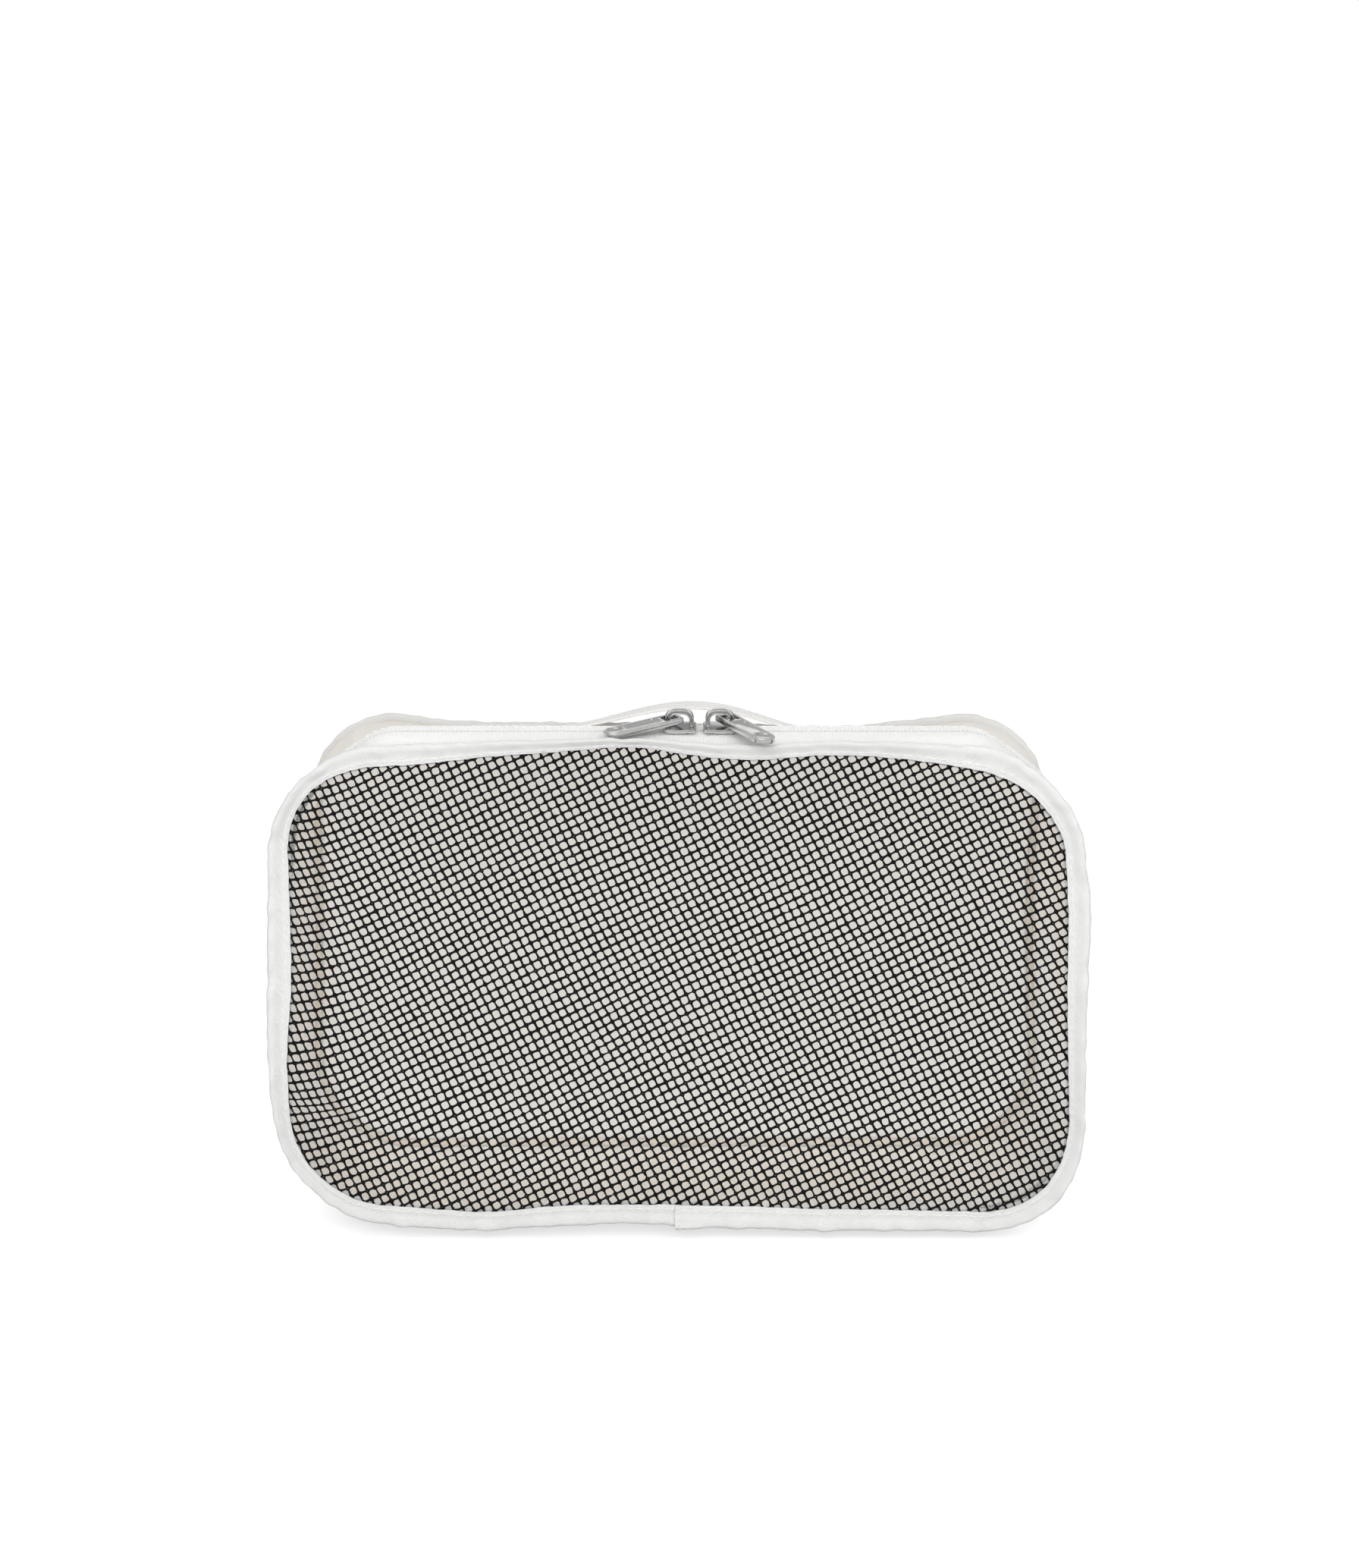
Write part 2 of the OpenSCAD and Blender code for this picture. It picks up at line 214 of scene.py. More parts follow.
@dataclass(frozen=True)
class Seam:
    """Rounded path round the cube's widest outline, from the bottom middle towards +X."""

    width: float = 290.0
    height: float = 175.0
    radius: float = 43.0

    @property
    def run(self) -> float:
        """Half of the straight stretch at the top and at the bottom."""
        return self.width / 2 - self.radius

    @property
    def rise(self) -> float:
        """Half of the straight stretch at each side."""
        return self.height / 2 - self.radius

    @property
    def length(self) -> float:
        """Length of the whole path."""
        return 4 * (self.run + self.rise) + 2 * math.pi * self.radius

    @property
    def zip_ends(self) -> tuple[float, float]:
        """Stations where the zip starts and ends at the bottom corners."""
        return self.run, self.length - self.run

    def rays(self, along: Array) -> tuple[Array, Array]:
        """Finds the centre and the outward direction at stations on the path.

        Args:
            along: Stations.

        Returns:
            Centres and directions in the X and Z axes.
        """
        run, rise, bend = self.run, self.rise, math.pi * self.radius / 2
        knots = np.cumsum([0, run, bend, 2 * rise, bend, 2 * run, bend, 2 * rise, bend, run])
        turns = np.radians([-90, -90, 0, 0, 90, 90, 180, 180, 270, 270])
        xs = [0, run, run, run, run, -run, -run, -run, -run, 0]
        zs = [-rise, -rise, -rise, rise, rise, rise, rise, -rise, -rise, -rise]
        s = np.mod(along, self.length)
        turn = np.interp(s, knots, turns)
        centre = np.stack([np.interp(s, knots, xs), np.interp(s, knots, zs) + self.height / 2], -1)
        return centre, np.stack([np.cos(turn), np.sin(turn)], -1)

    def points(self, along: Array, out: Array, y: Array) -> Array:
        """Places section points on the path.

        Args:
            along: Station of each point.
            out: How far each point stands out from the path.
            y: Depth of each point.

        Returns:
            The points, in millimetres.
        """
        along, out, y = np.broadcast_arrays(along, out, y)
        centre, ray = self.rays(along)
        flat = centre + (self.radius + out)[..., None] * ray
        return np.stack([flat[..., 0], y, flat[..., 1]], -1)

    def locate(self, x: Array, z: Array) -> tuple[Array, Array]:
        """Finds the station of points in the front plane and how far out they stand.

        Args:
            x: Place across the front.
            z: Height.

        Returns:
            Stations and distances out.
        """
        up = z - self.height / 2
        core_x, core_z = np.clip(x, -self.run, self.run), np.clip(up, -self.rise, self.rise)
        dx, dz = x - core_x, up - core_z
        reach = np.hypot(dx, dz)
        inside = -np.minimum(self.run - np.abs(x), self.rise - np.abs(up))
        out = np.where(reach > 0, reach, inside) - self.radius
        turn = np.mod(np.arctan2(dz, dx) + math.pi / 2, 2 * math.pi)
        low = np.where(core_x >= 0, core_x, 4 * (self.run + self.rise) + core_x)
        turn = np.where((dx == 0) & (dz < 0) & (core_x < 0), 2 * math.pi, turn)
        walked = np.where(
            dx > 0,
            self.run + self.rise + core_z,
            np.where(
                dx < 0,
                3 * (self.run + self.rise) - core_z,
                np.where(dz > 0, 2 * (self.run + self.rise) - core_x, low),
            ),
        )
        return np.mod(walked + self.radius * turn, self.length), out


@dataclass(frozen=True)
class EdgeRun:
    """How far an edge stands out from the seam path, as (station, out) pairs round the cube."""

    stations: tuple[tuple[float, float], ...]
    soften: int = 6

    def at(self, along: Array, length: float) -> Array:
        """Reads the softened edge.

        Args:
            along: Stations.
            length: Length of the path.

        Returns:
            The distance out at each station.
        """
        grid = np.arange(0.0, length, 1.0)
        place, out = np.array(self.stations).T
        rough = np.interp(grid, place, out, period=length)
        reach = 3 * self.soften
        kernel = np.exp(-((np.arange(-reach, reach + 1) / self.soften) ** 2) / 2)
        rolled = np.concatenate([rough[-reach:], rough, rough[:reach]])
        soft = np.convolve(rolled, kernel / kernel.sum(), "valid")
        return np.interp(along, grid, soft, period=length)


SEAM = Seam()

# Inner edge of the front binding, where the net starts
NET_EDGE = EdgeRun((
    (0, -11.6), (13.2, -11.0), (27.2, -10.9), (43.7, -10.0), (63.6, -9.9), (91.1, -9.3),
    (129, -8.5), (161.8, -12.2), (188.9, -12.7), (212.2, -13.0), (235.6, -12.4), (260.9, -13.6),
    (279, -16.3), (294.5, -17.0), (313.7, -17.2), (327.5, -15.6), (339, -13.2), (362.2, -10.7),
    (382.6, -10.4), (400.7, -12.4), (414.4, -11.7), (428.1, -10.0), (442.5, -7.3), (457.6, -8.3),
    (474, -9.8), (494, -10.9), (512, -13.2), (527, -14.4), (546, -14.2), (569.5, -11.6),
    (594.5, -11.5), (620.5, -12.4), (643.9, -13.0), (667.5, -11.1), (694.2, -12.7), (730.2, -13.2),
    (766.5, -10.5), (791.5, -8.6), (813.2, -11.2), (829.2, -11.5), (843.1, -11.5),
))

# Outer edge of the front binding
FOLD_EDGE = EdgeRun((
    (0, -4.3), (14.4, -3.8), (29.9, -3.5), (47.9, -2.7), (69.4, -3.0), (99, -2.7),
    (132, -2.2), (160.8, -7.0), (187.9, -6.9), (212.2, -6.2), (237, -4.7), (263, -7.5),
    (295.7, -10.2), (320, -8.0), (337, -7.0), (362, -6.0), (382.6, -5.7), (400.7, -7.6),
    (414.4, -7.0), (428, -5.9), (442.5, -4.8), (457.6, -5.0), (474, -5.5), (494, -6.0),
    (518, -7.0), (536, -7.5), (561.7, -7.4), (592.5, -5.1), (619.2, -4.9), (643.9, -4.8),
    (668.6, -4.7), (695.2, -7.6), (727, -8.3), (759.5, -4.6), (786.5, -2.7), (809.2, -4.3),
    (826.8, -5.0), (842.1, -5.8),
))

# Outer edge of the back binding, which stands squarer at the corners
BACK_EDGE = EdgeRun((
    (0, -2.4), (60, -2.3), (102, -2.4), (136, -3.0), (170, -5.2), (214, -6.2), (240, -5.6),
    (258, -4.0), (275, -1.6), (290, -0.6), (305, -1.0), (326, -4.6), (345, -6.8), (362, -8.6),
    (382, -8.5), (404, -7.6), (428, -7.3), (458, -7.0), (490, -7.0), (512, -6.8), (530, -4.8),
    (548, -0.8), (564, 0.4), (580, -0.5), (598, -1.6), (620, -2.2), (650, -2.1), (690, -1.9),
    (720, -1.4), (754, -2.2), (800, -2.4),
))

# Width of the back binding's outer leaf, and its inner edge
BACK_LEAF = 5.5
BACK_INNER = EdgeRun(tuple((place, out - BACK_LEAF) for place, out in BACK_EDGE.stations))

# How far in the back edge lies where the runs of the gusset and the strap are drawn
BACK_EVEN = 6.1

# Depth of the net and of the back panel from the cube's middle
PANEL_DEPTH = 46.0


def back_stray(along: Array) -> Array:
    """How far the back edge stands out from its even place at each station."""
    return BACK_EDGE.at(along, SEAM.length) + BACK_EVEN


@dataclass(frozen=True)
class Shoulder:
    """Slope that carries the zip, from the front binding up to the gusset.

    Slack holds (distance from the middle of the top, drop) pairs: how far the slack zip lies below its even
    run, which is not at all where the sliders are and most at the corners.
    """

    edge_out: float = -6.5
    edge_y: float = -44.5
    brow_y: float = -19.0
    slack: tuple[tuple[float, float], ...] = (
        (100, 0.0), (106, 1.2), (114, 3.8), (124, 5.6), (137, 6.4), (169, 5.4), (200, 2.6),
        (260, 1.2), (330, 0.0))

    def at(self, s: float, n: float) -> tuple[float, float]:
        """Finds a section point on the slope.

        Args:
            s: Distance along the slope from the binding.
            n: Distance out of the slope's cloth.

        Returns:
            The point, as (out, y).
        """
        tilt = math.atan2(-self.edge_out, self.brow_y - self.edge_y)
        sin, cos = math.sin(tilt), math.cos(tilt)
        return self.edge_out + s * sin + n * cos, self.edge_y + s * cos - n * sin

    def drop(self, along: Array) -> Array:
        """Finds how far the slack zip lies below its even run at each station."""
        return np.interp(off_top(along), *np.array(self.slack).T)


SHOULDER = Shoulder()


def off_top(along: Array) -> Array:
    """Distance of each station from the middle of the top."""
    return np.abs(np.mod(along, SEAM.length) - SEAM.length / 2)


def top_share(along: Array) -> Array:
    """Share of the top's slackness at each station: 1 on the straight top, 0 past its corners."""
    return 1 - ease(off_top(along), 100.0, 190.0)


# ---------------------------------------------------------------- finishes


class Graph:
    """Wires the nodes of one tree."""

    def __init__(self, tree: bpy.types.NodeTree) -> None:
        """Starts on an emptied tree."""
        self.tree = tree
        tree.nodes.clear()

    def node(self, kind: str, inputs: dict | None = None, **settings: object) -> bpy.types.Node:
        """Adds a node.

        Args:
            kind: Type of the node.
            inputs: Value or socket for each input, by name or number.
            settings: Properties of the node.

        Returns:
            The node.
        """
        made = self.tree.nodes.new(kind)
        for key, value in settings.items():
            setattr(made, key, value)
        for key, value in (inputs or {}).items():
            if isinstance(value, bpy.types.NodeSocket):
                self.tree.links.new(value, made.inputs[key])
            else:
                made.inputs[key].default_value = value
        return made

    def math(self, operation: str, *values: object) -> bpy.types.NodeSocket:
        """Adds one sum on values or sockets."""
        return self.node("ShaderNodeMath", dict(enumerate(values)), operation=operation).outputs[0]

    def mix(self, share: object, a: object, b: object, blend: str = "MIX") -> bpy.types.NodeSocket:
        """Mixes two colours."""
        made = self.node("ShaderNodeMix", {0: share, 6: a, 7: b}, data_type="RGBA", blend_type=blend)
        return made.outputs[2]

    def noise(self, place: bpy.types.NodeSocket, scale: object, detail: float) -> bpy.types.NodeSocket:
        """Adds soft noise of a scale and a detail."""
        return self.node("ShaderNodeTexNoise", {"Vector": place, "Scale": scale, "Detail": detail}).outputs[0]

    def span(self, value: object, low: float, high: float, first: float = 0.0,
             last: float = 1.0) -> bpy.types.NodeSocket:
        """Maps a value from low and high to first and last, and holds it between them."""
        return self.node("ShaderNodeMapRange", {0: value, 1: low, 2: high, 3: first, 4: last}).outputs[0]

    def use(self, group: bpy.types.NodeTree, inputs: dict) -> bpy.types.Node:
        """Places a shared effect."""
        return self.node("ShaderNodeGroup", inputs, node_tree=group)

    def end(self, shader: bpy.types.NodeSocket) -> None:
        """Shows a shader as the material's surface."""
        self.node("ShaderNodeOutputMaterial", {"Surface": shader})


def new_group(name: str, inputs: Sequence[tuple[str, str]], outputs: Sequence[tuple[str, str]]) -> Graph:
    """Makes an empty shared effect.

    Args:
        name: Name of the effect.
        inputs: Name and socket type of each input.
        outputs: Name and socket type of each output.

    Returns:
        The graph of the group.
    """
    tree = bpy.data.node_groups.new(name, "ShaderNodeTree")
    for label, kind in inputs:
        tree.interface.new_socket(name=label, in_out="INPUT", socket_type=kind)
    for label, kind in outputs:
        tree.interface.new_socket(name=label, in_out="OUTPUT", socket_type=kind)
    return Graph(tree)


class Effects:
    """Shared effects, each built once."""

    def __init__(self) -> None:
        """Builds the effects."""
        self.weave = self._weave()
        self.tone = self._tone()
        self.grain = self._grain()

    @staticmethod
    def _weave() -> bpy.types.NodeTree:
        """Threads that pass over and under each other, in plain weave, twill or herringbone.

        Returns:
            The effect.
        """
        g = new_group(
            "woven_threads",
            [("Vector", "NodeSocketVector"), ("Threads", "NodeSocketFloat"),
             ("Repeat", "NodeSocketFloat"), ("Stripe", "NodeSocketFloat")],
            [("Height", "NodeSocketFloat")],
        )
        given = g.node("NodeGroupInput").outputs
        place = g.node("ShaderNodeSeparateXYZ", {0: given["Vector"]}).outputs
        u = g.math("MULTIPLY", g.math("PINGPONG", place[1], given["Stripe"]), given["Threads"])
        v = g.math("MULTIPLY", place[0], given["Threads"])
        phase = g.math("FRACT", g.math("DIVIDE", g.math("ADD", g.math("FLOOR", u), g.math("FLOOR", v)),
                                       given["Repeat"]))
        over = g.math("LESS_THAN", phase, 0.499)
        warp = g.math("SINE", g.math("MULTIPLY", g.math("FRACT", u), math.pi))
        weft = g.math("SINE", g.math("MULTIPLY", g.math("FRACT", v), math.pi))
        under = g.math("SUBTRACT", 1.0, over)
        height = g.math("ADD", g.math("MULTIPLY", warp, over), g.math("MULTIPLY", weft, under))
        g.node("NodeGroupOutput", {"Height": height})
        return g.tree

    @staticmethod
    def _tone() -> bpy.types.NodeTree:
        """Slow drift of a cloth's colour between two tones, with finer flecks.

        Returns:
            The effect.
        """
        g = new_group(
            "cloth_tone",
            [("Vector", "NodeSocketVector"), ("Light", "NodeSocketColor"),
             ("Shade", "NodeSocketColor"), ("Scale", "NodeSocketFloat")],
            [("Color", "NodeSocketColor"), ("Drift", "NodeSocketFloat")],
        )
        given = g.node("NodeGroupInput").outputs
        slow = g.noise(given["Vector"], given["Scale"], 3.0)
        fleck = g.noise(given["Vector"], 1400.0, 1.0)
        summed = g.math("ADD", slow, g.math("MULTIPLY", fleck, 0.35))
        drift = g.span(summed, 0.45, 0.9)
        colour = g.mix(drift, given["Shade"], given["Light"])
        g.node("NodeGroupOutput", {"Color": colour, "Drift": drift})
        return g.tree

    @staticmethod
    def _grain() -> bpy.types.NodeTree:
        """Tumbled grain, rubbed patches and hairline scratches of a cast metal.

        Returns:
            The effect.
        """
        g = new_group(
            "metal_grain",
            [("Vector", "NodeSocketVector"), ("Scale", "NodeSocketFloat")],
            [("Height", "NodeSocketFloat"), ("Rub", "NodeSocketFloat")],
        )
        given = g.node("NodeGroupInput").outputs
        fine = g.noise(given["Vector"], given["Scale"], 2.0)
        patch = g.noise(given["Vector"], 420.0, 4.0)
        drawn = g.node("ShaderNodeMapping", {0: given["Vector"], 3: (300.0, 5200.0, 5200.0)})
        lines = g.noise(drawn.outputs[0], 1.0, 1.0)
        height = g.math("ADD", fine, g.math("MULTIPLY", lines, 0.5))
        rub = g.span(patch, 0.35, 0.65)
        g.node("NodeGroupOutput", {"Height": height, "Rub": rub})
        return g.tree


def blank_material(name: str) -> tuple[bpy.types.Material, Graph]:
    """Makes a material with an empty graph.

    Args:
        name: Name of the material.

    Returns:
        The material and its graph.
    """
    made = bpy.data.materials.new(name)
    made.use_nodes = True
    return made, Graph(made.node_tree)


@dataclass(frozen=True)
class WovenFinish:
    """Woven tape or cloth.

    Threads are counted for each metre, and a twill turns to a herringbone at each stripe. Between is the
    shade in the gaps. Outer, where given, colours the outer face apart from the inner one for how light falls
    on each side, as painted light. It lets through a share of the light, but less below the height dense,
    where it is doubled.
    """

    name: str
    light: Colour
    shade: Colour
    threads: float
    repeat: float
    bump: float
    depth: float
    between: float
    stripe: float = 9.0
    rough: float = 0.82
    sheen: float = 0.15
    through: float = 0.0
    drift: float = 18.0
    dense: float = 0.0
    outer: Colour | None = None

    def material(self, effects: Effects) -> bpy.types.Material:
        """Builds the finish.

        Args:
            effects: The shared effects.

        Returns:
            The material.
        """
        made, g = blank_material(self.name)
        place = g.node("ShaderNodeTexCoord").outputs
        weave = g.use(effects.weave, {"Vector": place["UV"], "Threads": self.threads,
                                      "Repeat": self.repeat, "Stripe": self.stripe})
        tone = g.use(effects.tone, {"Vector": place["Object"], "Light": self.light,
                                    "Shade": self.shade, "Scale": self.drift})
        gap = g.span(weave.outputs["Height"], 0.0, 0.8, self.between)
        grey = g.node("ShaderNodeCombineColor", {i: gap for i in range(3)}).outputs[0]
        colour = g.mix(1.0, tone.outputs["Color"], grey, "MULTIPLY")
        shown = colour
        # Painted light: the outer face gets its own plain colour and the inner face the drifting tone, set
        # apart for the light on each side
        if self.outer:
            inside = g.node("ShaderNodeNewGeometry").outputs["Backfacing"]
            shown = g.mix(inside, g.mix(1.0, self.outer, grey, "MULTIPLY"), colour)
        bump = g.node("ShaderNodeBump", {"Strength": self.bump, "Distance": self.depth,
                                         "Height": weave.outputs["Height"]})
        face = g.node("ShaderNodeBsdfPrincipled", {
            "Base Color": shown, "Roughness": self.rough, "Normal": bump.outputs[0],
            "Sheen Weight": self.sheen, "Specular IOR Level": 0.3,
        })
        shader = face.outputs[0]
        if self.through > 0:
            glow = g.node("ShaderNodeBsdfTranslucent", {"Color": colour, "Normal": bump.outputs[0]})
            share = self.through
            if self.dense > 0:
                height = g.node("ShaderNodeSeparateXYZ", {0: place["Object"]}).outputs[2]
                share = g.span(height, self.dense / 3, self.dense, 0.0, self.through)
            shader = g.node("ShaderNodeMixShader", {0: share, 1: shader, 2: glow.outputs[0]}).outputs[0]
        g.end(shader)
        return made


@dataclass(frozen=True)
class YarnFinish:
    """Near-black plied yarn of the net, with painted glints of light at some of its crossings.

    Its pattern counts the cells along and across the net. Knot is the reach of a crossing in cells.
    """

    name: str = "net_yarn"
    dark: Colour = (0.0025, 0.0025, 0.0025, 1.0)
    light: Colour = (0.014, 0.014, 0.0135, 1.0)
    # Light grey painted on some crossings as glints of light on the yarn
    knot_glint: Colour = (0.22, 0.21, 0.20, 1.0)
    plies: float = 5.0
    knot: float = 0.045
    rare: float = 0.56

    def material(self) -> bpy.types.Material:
        """Builds the finish.

        Returns:
            The material.
        """
        made, g = blank_material(self.name)
        place = g.node("ShaderNodeTexCoord").outputs
        cell = g.node("ShaderNodeSeparateXYZ", {0: place["UV"]}).outputs
        lean = g.math("MULTIPLY", g.math("ADD", cell[0], cell[1]), 2 * math.pi * self.plies)
        back = g.math("MULTIPLY", g.math("SUBTRACT", cell[0], cell[1]), 2 * math.pi * self.plies)
        ply = g.math("MAXIMUM", g.math("SINE", lean), g.math("SINE", back))
        fleck = g.noise(place["Object"], 900.0, 2.0)
        shine = g.span(g.math("MULTIPLY", ply, fleck), 0.1, 0.7)
        colour = g.mix(shine, self.dark, self.light)
        off = [g.math("ABSOLUTE", g.math("SUBTRACT", g.math("FRACT", g.math("ADD", cell[i], 0.5)), 0.5))
               for i in (0, 1)]
        knot = g.math("LESS_THAN", g.math("MAXIMUM", off[0], off[1]), self.knot)
        # Painted highlight: crossings where the flecks run high take the glint colour
        bright = g.math("MULTIPLY", knot, g.math("GREATER_THAN", fleck, self.rare))
        colour = g.mix(bright, colour, self.knot_glint)
        bump = g.node("ShaderNodeBump", {"Strength": 0.6, "Distance": 0.0001, "Height": ply})
        face = g.node("ShaderNodeBsdfPrincipled", {
            "Base Color": colour, "Roughness": g.span(fleck, 0.3, 0.7, 0.45, 0.7), "Normal": bump.outputs[0],
            "Specular IOR Level": 0.14,
        })
        g.end(face.outputs[0])
        return made


@dataclass(frozen=True)
class PlasticFinish:
    """Smooth drawn plastic of the coils, and sewing thread."""

    name: str
    light: Colour
    shade: Colour
    rough: float
    drift: float = 300.0
    vary: float = 0.08

    def material(self, effects: Effects) -> bpy.types.Material:
        """Builds the finish.

        Args:
            effects: The shared effects.

        Returns:
            The material.
        """
        made, g = blank_material(self.name)
        place = g.node("ShaderNodeTexCoord").outputs
        tone = g.use(effects.tone, {"Vector": place["Object"], "Light": self.light,
                                    "Shade": self.shade, "Scale": self.drift})
        rough = g.span(tone.outputs["Drift"], 0.0, 1.0, self.rough - self.vary, self.rough + self.vary)
        face = g.node("ShaderNodeBsdfPrincipled", {"Base Color": tone.outputs["Color"], "Roughness": rough})
        g.end(face.outputs[0])
        return made


@dataclass(frozen=True)
class CastFinish:
    """Satin silver of the die-cast sliders and pulls, darker in recesses as painted shade, and brighter where
    it is rubbed.
    """

    name: str = "satin_cast"
    light: Colour = (0.73, 0.725, 0.72, 1.0)
    shade: Colour = (0.66, 0.655, 0.65, 1.0)
    # Darker colour of recessed faces: painted shade
    recess_shade: Colour = (0.42, 0.42, 0.42, 1.0)
    rough: float = 0.11
    rubbed: float = 0.16

    def material(self, effects: Effects) -> bpy.types.Material:
        """Builds the finish.

        Args:
            effects: The shared effects.

        Returns:
            The material.
        """
        made, g = blank_material(self.name)
        place = g.node("ShaderNodeTexCoord").outputs
        grain = g.use(effects.grain, {"Vector": place["Object"], "Scale": 5200.0})
        # Recessed faces take the darker colour, as painted shade in the recesses
        sunk = g.node("ShaderNodeAttribute", attribute_name="sunk").outputs["Fac"]
        colour = g.mix(sunk, g.mix(grain.outputs["Rub"], self.shade, self.light), self.recess_shade)
        rough = g.span(grain.outputs["Rub"], 0.0, 1.0, self.rubbed, self.rough)
        bump = g.node("ShaderNodeBump", {"Strength": 0.03, "Distance": 0.00002,
                                         "Height": grain.outputs["Height"]})
        face = g.node("ShaderNodeBsdfPrincipled", {
            "Base Color": colour, "Roughness": rough, "Normal": bump.outputs[0], "Metallic": 1.0,
        })
        g.end(face.outputs[0])
        return made


class Finishes:
    """All finishes of the cube."""

    def __init__(self) -> None:
        """Builds the shared effects, then each material."""
        effects = Effects()
        # Front and rear bindings are one white twill tape: the front copy is set brighter than the rear one,
        # as painted light on the front
        self.binding = WovenFinish(
            "binding_tape", (0.975, 0.975, 0.965, 1), (0.945, 0.945, 0.935, 1), threads=3600.0, repeat=4.0,
            bump=0.9, depth=0.0002, between=0.88, stripe=0.0042).material(effects)
        self.rear_binding = WovenFinish(
            "rear_binding_tape", (0.95, 0.945, 0.93, 1), (0.91, 0.905, 0.885, 1), threads=3600.0, repeat=4.0,
            bump=0.9, depth=0.0002, between=0.90, stripe=0.0042).material(effects)
        self.zip_tape = WovenFinish(
            "zip_tape", (0.97, 0.97, 0.955, 1), (0.93, 0.93, 0.915, 1), threads=1500.0, repeat=2.0,
            bump=0.8, depth=0.00022, between=0.82).material(effects)
        # The gusset's peach shade is partly the cloth's own drifting tone and partly painted warm light inside
        # the cube; its separate outer colour is set for the light outside, as painted light
        self.cloth = WovenFinish(
            "gusset_cloth", (0.975, 0.96, 0.94, 1), (0.955, 0.89, 0.81, 1), threads=3600.0, repeat=2.0,
            bump=0.3, depth=0.00005, between=0.97, rough=0.7, sheen=0.0, through=0.55, drift=14.0,
            dense=0.024, outer=(0.97, 0.97, 0.955, 1)).material(effects)
        # The back panel is the gusset's cloth; this copy is toned darker apart from it for the light that
        # reaches the panel, as painted light
        self.panel = WovenFinish(
            "panel_cloth", (0.955, 0.94, 0.915, 1), (0.93, 0.90, 0.855, 1), threads=3600.0, repeat=2.0,
            bump=0.3, depth=0.00005, between=0.96, rough=0.7, sheen=0.0, through=0.5,
            drift=9.0).material(effects)
        self.strap = WovenFinish(
            "strap_tape", (0.97, 0.965, 0.945, 1), (0.935, 0.925, 0.90, 1), threads=1900.0, repeat=4.0,
            bump=0.8, depth=0.00016, between=0.88, stripe=0.0025, rough=0.85, sheen=0.2,
            through=0.12).material(effects)
        # The seam allowance is cream cloth; its tan is painted warm shade in the back seam's crease
        self.ridge = WovenFinish(
            "seam_allowance_painted_shade", (0.97, 0.93, 0.87, 1), (0.95, 0.87, 0.74, 1), threads=2600.0, repeat=2.0,
            bump=0.5, depth=0.0001, between=0.92, rough=0.8, sheen=0.0, through=0.05,
            drift=26.0).material(effects)
        self.yarn = YarnFinish().material()
        self.coil = PlasticFinish(
            "coil_plastic", (0.84, 0.84, 0.82, 1), (0.76, 0.76, 0.74, 1), rough=0.35).material(effects)
        self.thread = PlasticFinish(
            "sewing_thread", (0.86, 0.86, 0.84, 1), (0.74, 0.74, 0.72, 1), rough=0.6,
            drift=900.0).material(effects)
        self.cast = CastFinish().material(effects)


# ---------------------------------------------------------------- what repeats


def tile(name: str, model: bpy.types.Object, places: Array, along: Array, up: Array) -> bpy.types.Object:
    """Copies one small model to many places as a single piece.

    Args:
        name: Name of the piece.
        model: The model, with X along its row, Z up, in metres. It is removed by its owner.
        places: Where each copy goes, in millimetres.
        along: Direction of the row at each place.
        up: Direction out of the surface at each place.

    Returns:
        The piece.
    """
    mesh = model.data
    shape = np.array([v.co for v in mesh.vertices]) / MM
    faces = [np.array(p.vertices) for p in mesh.polygons]
    along = along / np.linalg.norm(along, axis=1, keepdims=True)
    up = up - (up * along).sum(1, keepdims=True) * along
    up = up / np.linalg.norm(up, axis=1, keepdims=True)
    side = np.cross(up, along)
    basis = np.stack([along, side, up], 1)
    points = places[:, None, :] + np.einsum("pj,njk->npk", shape, basis)
    every = [tuple(f + n * len(shape)) for n in range(len(places)) for f in faces]
    return make_mesh(name, points.reshape(-1, 3), every)


def read_line(values: Array, walked: Array, stops: Array) -> Array:
    """Reads values that belong to the points of a line at other places on it.

    Args:
        values: One row of three for each point.
        walked: Distance of each point along the line.
        stops: Distances to read at.

    Returns:
        One row of three for each stop.
    """
    return np.stack([np.interp(stops, walked, values[:, i]) for i in range(3)], -1)


